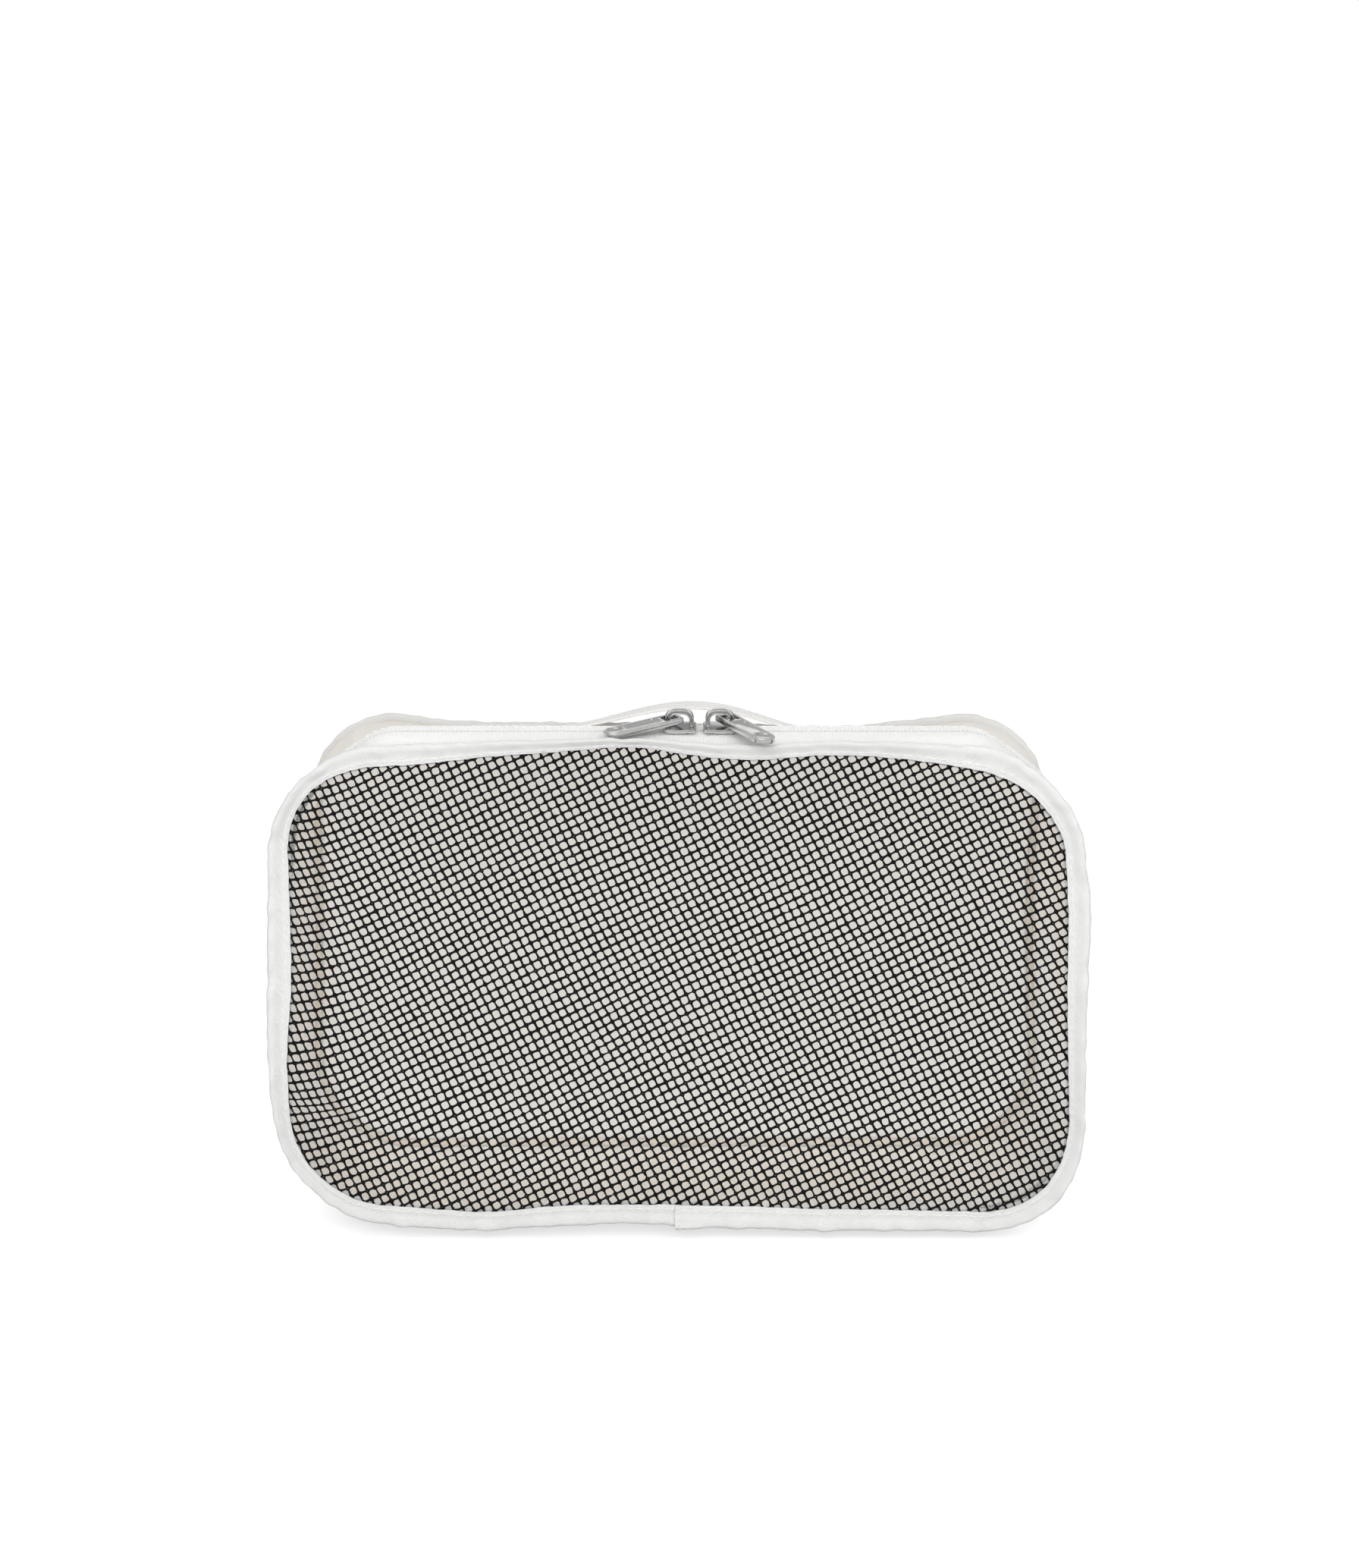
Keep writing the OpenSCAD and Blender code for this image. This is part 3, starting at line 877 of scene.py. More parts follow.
@dataclass
class Stitching:
    """Rows of sewing thread, copied from one stitch.

    Dive and proud are how far a stitch's ends sink and how far it stands up, in threads. Look is how far to
    each side the row's direction is read.
    """

    length: float = 2.3
    pitch: float = 2.9
    thread: float = 0.34
    dive: float = 0.9
    proud: float = 0.15
    look: float = 0.4
    model: bpy.types.Object | None = None

    def build(self) -> bpy.types.Object:
        """Models one stitch: a short thread whose two ends dive into the cloth.

        Returns:
            The stitch.
        """
        bpy.ops.object.select_all(action="DESELECT")
        bpy.ops.mesh.primitive_cylinder_add(
            vertices=6, radius=self.thread / 2 * MM, depth=self.length * MM,
            rotation=(0, math.pi / 2, 0), end_fill_type="NOTHING")
        stitch = bpy.context.object
        bpy.ops.object.transform_apply(location=True, rotation=True, scale=True)
        bpy.ops.object.mode_set(mode="EDIT")
        bpy.ops.mesh.select_all(action="SELECT")
        bpy.ops.mesh.subdivide(number_cuts=2, smoothness=0)
        bpy.ops.object.mode_set(mode="OBJECT")
        half = self.length / 2 * MM
        for vertex in stitch.data.vertices:
            reach = abs(vertex.co.x) / half
            vertex.co.z -= self.thread * self.dive * MM * reach**4 - self.thread * self.proud * MM
        weld(stitch)
        self.model = stitch
        return stitch

    def row(self, name: str, line: Array, up: Array) -> bpy.types.Object:
        """Sews a row along a line of points.

        Args:
            name: Name of the row.
            line: Points on the surface, in order.
            up: Direction out of the surface at each point.

        Returns:
            The row as one piece.
        """
        steps = np.linalg.norm(np.diff(line, axis=0), axis=1)
        walked = np.concatenate([[0.0], np.cumsum(steps)])
        stops = np.arange(self.pitch, walked[-1] - self.pitch, self.pitch)
        ahead = read_line(line, walked, stops + self.look) - read_line(line, walked, stops - self.look)
        return tile(name, self.model, read_line(line, walked, stops), ahead, read_line(up, walked, stops))

    def clear(self) -> None:
        """Removes the model once every row is sewn."""
        bpy.data.objects.remove(self.model)


def dress_stitches(rows: list[bpy.types.Object], finishes: Finishes, body: str) -> None:
    """Gives rows of stitches their thread.

    Args:
        rows: The rows.
        finishes: All finishes.
        body: The body that the rows ride on.
    """
    for row in rows:
        smooth(row, 80)
        row.data.materials.append(finishes.thread)
        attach(row, body)


def sheet_normals(grid: Array) -> Array:
    """Finds the direction out of a sheet at each point of its grid."""
    normal = np.cross(np.gradient(grid, axis=1), np.gradient(grid, axis=0))
    return normal / np.maximum(np.linalg.norm(normal, axis=2, keepdims=True), 1e-9)


# ---------------------------------------------------------------- net door


@dataclass
class Net:
    """Knitted net with square cells, leaning strands and thick crossings.

    Rising and falling are the strands' directions in degrees. Margin and cut give a hole's rim and its cut
    corners as shares of a cell. The uneven values are the spread of the holes, the yarn's height and the
    crossings.
    """

    pitch: float = 2.97
    rising: float = 25.0
    falling: float = 118.0
    reach: int = 70
    margin: float = 0.118
    cut: float = 0.15
    plane: float = -PANEL_DEPTH
    sway: float = 0.25
    knot: float = 0.36
    strand: float = 0.27
    hidden: float = 2.6
    uneven_hole: float = 0.026
    uneven_yarn: float = 0.025
    uneven_knot: float = 0.012
    flat: tuple[float, float] = (0.276, 0.161)
    covered: float = 0.47
    seed: int = 5
    obj: bpy.types.Object | None = None

    def warp(self, x: Array, z: Array) -> tuple[Array, Array]:
        """Pulls the lattice as the slack net hangs: it bows at the left and bunches at the lower left.

        Args:
            x: Place across the even lattice.
            z: Height in it.

        Returns:
            The pulled places and heights.
        """
        bow = 0.0065 * np.minimum(x + 105, 0.0) ** 2
        bunch = -1.4 * ease(-x, 95, 115) * np.tanh((z - 42) / 5) * np.exp(-(((z - 42) / 30) ** 2))
        wave = 0.5 * np.sin(x / 23 + 1.0) * np.sin(z / 31) + 0.35 * np.sin(x / 11 - z / 17)
        slide = 0.5 * np.sin(z / 19 + x / 37)
        return x + slide, z + bow + bunch + wave

    def step(self, turn: float) -> Array:
        """Step from one crossing to the next on a strand that runs in a direction in degrees."""
        return self.pitch * np.array([math.cos(math.radians(turn)), math.sin(math.radians(turn))])

    def hang(self, cells: Array) -> Array:
        """Finds where points of the lattice hang in the net's plane.

        Args:
            cells: Points, counted in cells along both strands.

        Returns:
            Place across and height of each point, one row each.
        """
        u, v = cells.reshape(-1, 2).T
        even = u[:, None] * self.step(self.rising) + v[:, None] * self.step(self.falling)
        even = even + [0.0, SEAM.height / 2]
        return np.stack(self.warp(even[:, 0], even[:, 1]), -1)

    def layer(self, xz: Array, behind: Array | float) -> Array:
        """Puts points of the net's plane at a depth behind its slack middle."""
        sway = self.sway * np.sin(xz[:, 0] / 29) * np.sin(xz[:, 1] / 23 + 0.6)
        return np.stack([xz[:, 0], self.plane + sway + behind, xz[:, 1]], -1)

    def build(self) -> bpy.types.Object:
        """Knits the net cell by cell.

        Returns:
            The net.
        """
        rng = np.random.default_rng(self.seed)
        numbers = np.arange(-self.reach, self.reach)
        ij = np.stack(np.meshgrid(numbers, numbers, indexing="ij"), -1).reshape(-1, 2)
        along, out = SEAM.locate(*self.hang(ij + 0.5).T)
        edge, fold = NET_EDGE.at(along, SEAM.length), FOLD_EDGE.at(along, SEAM.length)
        cells = ij[out < edge + np.minimum(self.hidden, 0.5 * (fold - edge) - 0.4)]
        # Crest points of a cell: its four crossings and the middles of its four sides, counter-clockwise
        ring = np.array([(0, 0), (0.5, 0), (1, 0), (1, 0.5), (1, 1), (0.5, 1), (0, 1), (0, 0.5)])
        crest_uv = cells[:, None, :] + ring[None]
        key = np.round(crest_uv * 2).astype(int).reshape(-1, 2)
        unique, crest = np.unique(key, axis=0, return_inverse=True)
        crest = crest.reshape(len(cells), 8)
        crest_place = unique / 2
        m, c = self.margin, self.margin + self.cut
        hole_ring = np.array([(c, m), (1 - c, m), (1 - m, c), (1 - m, 1 - c),
                              (1 - c, 1 - m), (c, 1 - m), (m, 1 - c), (m, c)])
        hole_uv = cells[:, None, :] + hole_ring[None] + rng.normal(0, self.uneven_hole, (len(cells), 8, 2))
        crossing = (unique % 2 == 0).all(axis=1)
        height = np.where(crossing, self.knot, self.strand) + rng.normal(0, self.uneven_yarn, len(unique))
        crest_xz = self.hang(crest_place + rng.normal(0, self.uneven_knot, unique.shape))
        points = np.concatenate([
            self.layer(crest_xz, -height),
            self.layer(crest_xz, height),
            self.layer(self.hang(hole_uv), 0.0),
        ])
        count = len(unique)
        uv = np.concatenate([crest_place, crest_place, hole_uv.reshape(-1, 2)])
        hole = 2 * count + np.arange(len(cells) * 8).reshape(-1, 8)
        nxt = np.roll(np.arange(8), -1)
        faces = []
        for lift, order in ((0, (0, 1, 2)), (count, (0, 2, 1))):
            outer = crest + lift
            rim = np.stack([outer, outer[:, nxt], hole], -1)
            fan = np.stack([outer[:, nxt], hole[:, nxt], hole], -1)
            faces += [rim.reshape(-1, 3)[:, order], fan.reshape(-1, 3)[:, order]]
        sides = np.stack([crest, crest[:, nxt]], -1).reshape(-1, 2)
        _, owner, uses = np.unique(np.sort(sides, axis=1), axis=0, return_index=True, return_counts=True)
        cut = sides[owner[uses == 1]]
        faces.append(np.stack([cut[:, 0], cut[:, 0] + count, cut[:, 1]], -1))
        faces.append(np.stack([cut[:, 1], cut[:, 0] + count, cut[:, 1] + count], -1))
        self.obj = make_mesh("net_door", points, np.concatenate(faces), uv)
        weld(self.obj, 1e-9)
        smooth(self.obj, 180)
        return self.obj

    def dress(self, finishes: Finishes) -> None:
        """Gives the net its yarn and hangs it in the lid.

        Args:
            finishes: All finishes.
        """
        self.obj.data.materials.append(finishes.yarn)
        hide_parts("front_net")
        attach(self.obj, "lid")


class Facing(Enum):
    """Which way a folded binding shows its outer leaf."""

    FRONT = -1
    BACK = 1


@dataclass
class FoldedBinding:
    """Twill tape folded over the edge of a panel and sewn through.

    The section holds (share of the width from the inner edge, depth in front of the panel) pairs, from the
    outer leaf's edge over the fold to the inner leaf's edge. Hidden is the inner leaf's share of its full
    width. Relief swells the ridge by the fold and sinks the furrow beside it.
    """

    name: str
    node: str
    body: str
    facing: Facing
    inner: EdgeRun
    outer: EdgeRun
    stations: int = 540
    steps: int = 2
    leaf: float = 0.5
    lap: float = 4.0
    under: float = 1.5
    lap_lift: float = 0.85
    lap_run: float = 13.0
    hidden: float = 1.0
    relief: float = 0.0
    ridge: float = 0.35
    furrow: float = -0.12
    edge_wave: float = 0.16
    fold_wave: float = 0.42
    puff_wave: float = 0.36
    tape: float = 0.017
    seed: int = 3
    fold_knot: int = 6
    section: tuple[tuple[float, float], ...] = (
        (0.0, 0.86), (0.22, 1.0), (0.42, 1.08), (0.60, 1.42), (0.78, 1.75), (0.92, 1.6), (1.0, 0.8),
        (0.95, -0.15), (0.80, -0.78), (0.45, -0.94), (0.15, -0.90), (-0.10, -0.86))
    grid: Array = field(default_factory=lambda: np.empty(0))
    obj: bpy.types.Object | None = None
    rows: list[bpy.types.Object] = field(default_factory=list)

    @property
    def plane(self) -> float:
        """Depth of the panel that the tape is folded over."""
        return PANEL_DEPTH * self.facing.value

    def build(self) -> bpy.types.Object:
        """Lofts the folded tape along its path, with its two ends lapped at the bottom middle.

        Returns:
            The tape.
        """
        rng = np.random.default_rng(self.seed)
        length = SEAM.length
        along = np.linspace(-self.under, length + self.lap, self.stations)
        edge = self.inner.at(along, length) + self.edge_wave * ripple(along, length, (59, 83, 131), rng)
        fold = self.outer.at(along, length) + self.fold_wave * ripple(along, length, (31, 53, 83, 119), rng)
        wide = fold - edge
        puff = 1 + self.puff_wave * ripple(along, length, (37, 59, 89), rng)
        lift = self.lap_lift * (1 - ease(along, 0.0, self.lap_run))
        swollen = self.relief * (1 - top_share(along))
        knots = np.empty((self.stations, len(self.section), 2))
        for i, (share, deep) in enumerate(self.section):
            if deep > 1:
                deep = deep + swollen * (self.ridge if share > 0.5 else self.furrow)
            swell = puff if 0.5 < share < 1 and i < self.fold_knot else 1.0
            share = share if i <= self.fold_knot else 1 - (1 - share) * self.hidden
            knots[:, i, 0] = edge + share * wide + np.where(share > 0.9, lift, 0.0)
            knots[:, i, 1] = self.plane + self.facing.value * (deep * swell + lift * np.sign(deep))
        line = smooth_line(knots, self.steps)
        self.grid = SEAM.points(along[:, None], line[..., 0], line[..., 1])
        self.obj = loft(self.name, self.grid)
        if self.leaf:
            thicken(self.obj, self.leaf)
        smooth(self.obj, 60)
        return self.obj

    def sew(self, stitching: Stitching) -> None:
        """Sews the row of stitches that shows on the outer leaf, at the section's second knot.

        Args:
            stitching: The stitch to sew with.
        """
        column = self.steps
        up = np.zeros_like(self.grid[:, column])
        up[:, 1] = self.facing.value
        line = self.grid[:, column] + up * (self.leaf / 2 + STITCH_GAP)
        self.rows.append(stitching.row(self.name + "_stitches", line, up))

    def dress(self, finishes: Finishes) -> None:
        """Gives the tape its twill and the row its thread.

        Args:
            finishes: All finishes.
        """
        # The front binding takes the brighter copy of the tape, which is painted light
        twill = finishes.binding if self.facing is Facing.FRONT else finishes.rear_binding
        self.obj.data.materials.append(twill)
        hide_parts(self.node)
        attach(self.obj, self.body)
        dress_stitches(self.rows, finishes, self.body)


# ---------------------------------------------------------------- zip


@dataclass
class ZipTape:
    """One half of the zip's woven tape, along the top, the sides and the corners.

    Places across the tape are distances along the shoulder's slope. Sunk is how deep its middle lies in the
    cloth. Near the binding the front half follows the fold's run, by a share that ends within follow_run.
    """

    name: str
    node: str
    body: str
    front: bool
    edge: float = 0.76
    middle: float = 12.4
    far: float = 26.3
    thick: float = 0.55
    sunk: float = -0.4
    sag: float = 5.4
    sag_start: float = 17.5
    follow: float = 0.8
    follow_run: tuple[float, float] = (1.0, 9.0)
    fold_even: float = 5.0
    sewn: tuple[tuple[float, float], ...] = ((-3.2, -44.55), (-1.6, -44.45))
    front_knots: tuple[float, ...] = (3.6, 6.2, 9.0)
    rear_knots: tuple[float, ...] = (16.0, 18.5, 21.0, 23.6)
    stations: int = 330
    grid: Array = field(default_factory=lambda: np.empty(0))
    obj: bpy.types.Object | None = None
    rows: list[bpy.types.Object] = field(default_factory=list)

    def section(self, along: Array) -> Array:
        """Draws the knots of the tape's section at each station.

        Args:
            along: Stations.

        Returns:
            The knots, as (station, knot, axis).
        """
        if self.front:
            fold = FOLD_EDGE.at(along, SEAM.length)
            knots = [(fold + out, np.full_like(along, y)) for out, y in self.sewn]
            for s in (*self.front_knots, self.middle - self.edge):
                out, y = SHOULDER.at(s, self.sunk)
                share = 1 - ease(np.full_like(along, s), *self.follow_run)
                slack = (1 - share) * SHOULDER.drop(along)
                stray = share * (fold + self.fold_even) * self.follow
                knots.append((out + stray - slack, np.full_like(along, y)))
        else:
            knots = []
            for s in (self.middle + self.edge, *self.rear_knots, self.far):
                out, y = SHOULDER.at(s, self.sunk)
                drop = self.sag * top_share(along) * ease(np.full_like(along, s), self.sag_start, self.far)
                knots.append((out - drop - SHOULDER.drop(along), np.full_like(along, y)))
        return np.stack([np.stack(k, -1) for k in knots], 1)

    def build(self) -> bpy.types.Object:
        """Lofts the tape.

        Returns:
            The tape.
        """
        along = np.linspace(*SEAM.zip_ends, self.stations)
        line = smooth_line(self.section(along), 2)
        self.grid = SEAM.points(along[:, None], line[..., 0], line[..., 1])
        self.obj = loft(self.name, self.grid)
        thicken(self.obj, self.thick)
        smooth(self.obj, 60)
        return self.obj

    def sew(self, stitching: Stitching) -> None:
        """Sews the row that holds the coil, and on the rear tape the row that holds the cloth.

        Args:
            stitching: The stitch to sew with.
        """
        normals = sheet_normals(self.grid)
        if normals[len(normals) // 2, 0, 2] < 0:
            normals = -normals
        columns = (7,) if self.front else (3, 9)
        for number, column in enumerate(columns):
            up = normals[:, column]
            line = self.grid[:, column] + up * (self.thick / 2 + STITCH_GAP)
            self.rows.append(stitching.row(f"{self.name}_stitches_{number}", line, up))

    def dress(self, finishes: Finishes) -> None:
        """Gives the tape its ribs and the rows their thread.

        Args:
            finishes: All finishes.
        """
        self.obj.data.materials.append(finishes.zip_tape)
        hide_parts(self.node)
        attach(self.obj, self.body)
        dress_stitches(self.rows, finishes, self.body)


@dataclass
class ZipCoil:
    """One row of coil on the inner face of the tape.

    Start and end are distances along the shoulder's slope, and top and deep are distances out of its cloth.
    """

    name: str
    node: str
    body: str
    start: float
    end: float
    wire: float = 0.62
    pitch: float = 1.25
    top: float = -0.95
    deep: float = -2.85
    lean: float = 0.22
    end_gap: float = 1.0
    obj: bpy.types.Object | None = None

    def element(self) -> bpy.types.Object:
        """Models one turn of the coil: a ring pressed to the row's width and depth.

        Returns:
            The turn.
        """
        wide, tall = (self.end - self.start) / 2, (self.top - self.deep) / 2
        bpy.ops.object.select_all(action="DESELECT")
        bpy.ops.mesh.primitive_torus_add(
            major_segments=10, minor_segments=4, major_radius=1.0 * MM, minor_radius=self.wire / 2 * MM,
            rotation=(0, math.pi / 2, 0))
        turn = bpy.context.object
        bpy.ops.object.transform_apply(location=True, rotation=True, scale=True)
        bpy.ops.object.mode_set(mode="EDIT")
        bpy.ops.mesh.select_all(action="SELECT")
        bpy.ops.transform.resize(value=(1.0, wide - self.wire / 2, tall - self.wire / 2))
        bpy.ops.object.mode_set(mode="OBJECT")
        for vertex in turn.data.vertices:
            vertex.co.x += self.lean * vertex.co.y
        return turn

    @staticmethod
    def spots(along: Array, out: float, y: float) -> Array:
        """Places one point of the section at each station of the slack zip."""
        return SEAM.points(along, out - SHOULDER.drop(along), np.full_like(along, y))

    def build(self) -> bpy.types.Object:
        """Copies the turn along the zip.

        Returns:
            The row.
        """
        turn = self.element()
        first, last = SEAM.zip_ends
        along = np.arange(first + self.end_gap, last - self.end_gap, self.pitch)
        middle = SHOULDER.at((self.start + self.end) / 2, (self.top + self.deep) / 2)
        face = SHOULDER.at((self.start + self.end) / 2, 0.0)
        here = self.spots(along, *middle)
        ahead = self.spots(along + 0.3, *middle) - here
        up = self.spots(along, *face) - here
        self.obj = tile(self.name, turn, here, ahead, up)
        bpy.data.objects.remove(turn)
        weld(self.obj, 1e-9)
        smooth(self.obj, 180)
        return self.obj

    def dress(self, finishes: Finishes) -> None:
        """Gives the coil its plastic.

        Args:
            finishes: All finishes.
        """
        self.obj.data.materials.append(finishes.coil)
        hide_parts(self.node)
        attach(self.obj, self.body)


@dataclass
class CastPiece:
    """A die-cast piece, finished from the CAD node that it stands for.

    Sharp is the angle in degrees past which an edge is rounded, rim the inset of the outline's points, and
    recess the least and most depth of a recess.
    """

    node: str
    body: str
    soft_edge: float
    inner_share: float = 1.0
    sharp: float = 28.0
    rim: float = 0.1
    recess: tuple[float, float] = (0.12, 0.6)
    obj: bpy.types.Object | None = None

    def build(self) -> bpy.types.Object:
        """Copies the node's mesh, joins its flat faces again and rounds its edges.

        Returns:
            The finished piece.
        """
        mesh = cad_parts[self.node].data.copy()
        mesh.materials.clear()
        self.obj = bpy.data.objects.new(self.node + "_cast", mesh)
        bpy.context.scene.collection.objects.link(self.obj)
        only(self.obj)
        bpy.ops.object.mode_set(mode="EDIT")
        bpy.ops.mesh.select_all(action="SELECT")
        bpy.ops.mesh.remove_doubles(threshold=1e-6)
        bpy.ops.mesh.dissolve_limited(angle_limit=math.radians(0.6))
        bpy.ops.object.mode_set(mode="OBJECT")
        self.mark()
        self.round_edges()
        self.mark_sunk()
        smooth(self.obj, 40)
        return self.obj

    def mark(self) -> None:
        """Marks how much each sharp edge is rounded: the outline in full, edges inside it by their share."""
        mesh = self.obj.data
        points = np.array([v.co for v in mesh.vertices])
        middle = points.mean(axis=0)
        flat = np.linalg.svd(points - middle, full_matrices=False)[2][:2]
        spread = (points - middle) @ flat.T
        turns = np.linspace(0, 2 * math.pi, 720, endpoint=False)
        ways = np.stack([np.cos(turns), np.sin(turns)], -1)
        inset = ((spread @ ways.T).max(axis=0) - spread @ ways.T).min(axis=1)
        faces: dict[tuple[int, int], list[bpy.types.MeshPolygon]] = {}
        for face in mesh.polygons:
            for key in face.edge_keys:
                faces.setdefault(key, []).append(face)
        weights = np.zeros(len(mesh.edges))
        for edge in mesh.edges:
            near = faces.get(tuple(sorted(edge.vertices)), [])
            if len(near) == 2 and near[0].normal.angle(near[1].normal, 0.0) > math.radians(self.sharp):
                outline = max(inset[v] for v in edge.vertices) < self.rim * MM
                weights[edge.index] = 1.0 if outline else self.inner_share
        marks = mesh.attributes.new("bevel_weight_edge", "FLOAT", "EDGE")
        marks.data.foreach_set("value", weights)

    def mark_sunk(self) -> None:
        """Marks the faces that lie flat in a recess, where the finish paints a darker colour as shade."""
        mesh = self.obj.data
        points = np.array([v.co for v in mesh.vertices])
        middle = points.mean(axis=0)
        thin = np.linalg.svd(points - middle, full_matrices=False)[2][2]
        top = np.abs((points - middle) @ thin).max()
        least, most = (depth * MM for depth in self.recess)
        sunk = [float(abs(np.dot(face.normal, thin)) > 0.9
                      and least < top - abs(np.dot(np.array(face.center) - middle, thin)) < most)
                for face in mesh.polygons]
        mesh.attributes.new("sunk", "FLOAT", "FACE").data.foreach_set("value", sunk)

    def round_edges(self) -> None:
        """Rounds the marked edges."""
        edge = self.obj.modifiers.new("rounding", "BEVEL")
        edge.width = self.soft_edge * MM
        edge.segments = 3
        edge.limit_method = "WEIGHT"
        edge.use_clamp_overlap = True
        only(self.obj)
        bpy.ops.object.modifier_apply(modifier=edge.name)

    def dress(self, finishes: Finishes) -> None:
        """Gives the casting its satin silver.

        Args:
            finishes: All finishes.
        """
        self.obj.data.materials.append(finishes.cast)
        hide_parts(self.node)
        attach(self.obj, self.body)


# ---------------------------------------------------------------- cloth body


@dataclass
class Creases:
    """Soft folds pressed into slack cloth.

    Spread is the size of the cloth. The other pairs are the least and the most of a fold, and bow is how far
    it curves. A cloth that closes on itself has a period.
    """

    count: int
    spread: tuple[float, float]
    length: tuple[float, float]
    width: tuple[float, float]
    depth: tuple[float, float]
    lean: tuple[float, float]
    seed: int
    bow: tuple[float, float] = (-0.004, 0.004)
    period: float = 0.0

    def height(self, u: Array, v: Array) -> Array:
        """Adds up the folds.

        Args:
            u: Place along the cloth.
            v: Place across the cloth.

        Returns:
            The height of the cloth at each place.
        """
        rng = np.random.default_rng(self.seed)
        total = np.zeros(np.broadcast(u, v).shape)
        for _ in range(self.count):
            cu, cv = rng.uniform(0, self.spread[0]), rng.uniform(0, self.spread[1])
            turn = math.radians(rng.uniform(*self.lean))
            long, wide = rng.uniform(*self.length), rng.uniform(*self.width)
            deep, bow = rng.uniform(*self.depth), rng.uniform(*self.bow)
            du = u - cu
            if self.period:
                du = np.mod(du + self.period / 2, self.period) - self.period / 2
            dv = v - cv
            ahead = du * math.cos(turn) + dv * math.sin(turn)
            beside = dv * math.cos(turn) - du * math.sin(turn) + bow * ahead**2
            total += deep * np.exp(-((beside / wide) ** 2)) * np.exp(-((ahead / long) ** 2))
        return total


@dataclass
class Gusset:
    """Slack cloth round the top, the sides and the bottom, from the zip to the back seam.

    The runs are (y, out) pairs across the cloth. Skirt and low are distances from the bottom's middle over
    which the skirt at the hinge ends and the bottom turns into the sides. Calm is how much shallower folds are
    at the bottom.
    """

    stations: int = 430
    columns: int = 44
    front_start: float = -23.6
    skirt_start: float = -43.9
    back_end: float = 45.2
    skirt: tuple[float, float] = (101.0, 105.0)
    low: tuple[float, float] = (96.0, 150.0)
    loose_front: tuple[float, float] = (-26.0, -15.0)
    loose_back: tuple[float, float] = (36.0, 44.0)
    drop_end: tuple[float, float] = (4.0, 40.0)
    inside: float = 0.45
    calm: float = 0.9
    ground: float = -0.05
    roof: float = 3.0
    top_run: tuple[tuple[float, float], ...] = (
        (-26, -1.9), (-19, -6.0), (0, -7.6), (18, -8.4), (30, -8.5), (38, -8.4), (46, -8.9))
    side_run: tuple[tuple[float, float], ...] = (
        (-26, -2.7), (-19, -1.6), (0, -3.6), (20, -4.6), (34, -6.0), (46, -9.0))
    low_run: tuple[tuple[float, float], ...] = (
        (-44.5, -6.5), (-19.0, 0.0), (23.5, 0.0), (44.5, -7.5), (46.0, -8.0))
    creases: Creases = field(default_factory=lambda: Creases(
        count=110, spread=(856.2, 70.0), length=(9, 34), width=(1.2, 3.6), depth=(-1.4, 1.0), lean=(35, 145),
        seed=21, period=856.177))
    obj: bpy.types.Object | None = None

    def build(self) -> bpy.types.Object:
        """Lofts the cloth as a ring that sags between its seams.

        Returns:
            The cloth.
        """
        along = np.linspace(0.0, SEAM.length, self.stations)
        from_middle = np.minimum(along, SEAM.length - along)
        skirt = 1 - ease(from_middle, *self.skirt)
        start = self.front_start + skirt * (self.skirt_start - self.front_start)
        share = np.linspace(0.0, 1.0, self.columns)
        y = start[:, None] + share[None] * (self.back_end - start[:, None])
        top, low = top_share(along)[:, None], (1 - ease(from_middle, *self.low))[:, None]
        side = np.clip(1 - top - low, 0.0, 1.0)
        over_top, over_side, over_low = (
            np.interp(y, *np.array(run).T) for run in (self.top_run, self.side_run, self.low_run))
        run = top * over_top + side * over_side
        run = run + low * (over_low - self.inside)
        run = run - (1 - low) * SHOULDER.drop(along)[:, None] * (1 - ease(y, *self.drop_end))
        seam = back_stray(along)[:, None] * ease(y, 0.0, PANEL_DEPTH)
        free = ease(y, *self.loose_front) * (1 - ease(y, *self.loose_back))
        fold = self.creases.height(along[:, None], y + 24.0) * free
        out = run + seam + fold * (1 - self.calm * low)
        out = np.minimum(out, np.where(low > 0.5, self.ground, self.roof))
        grid = SEAM.points(along[:, None], out, y)
        self.obj = loft("gusset_cloth", grid, closed=True)
        smooth(self.obj, 180)
        return self.obj

    def dress(self, finishes: Finishes) -> None:
        """Gives the cloth its weave.

        Args:
            finishes: All finishes.
        """
        self.obj.data.materials.append(finishes.cloth)
        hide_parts("upper_gusset", "bottom_gusset")
        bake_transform(self.obj)


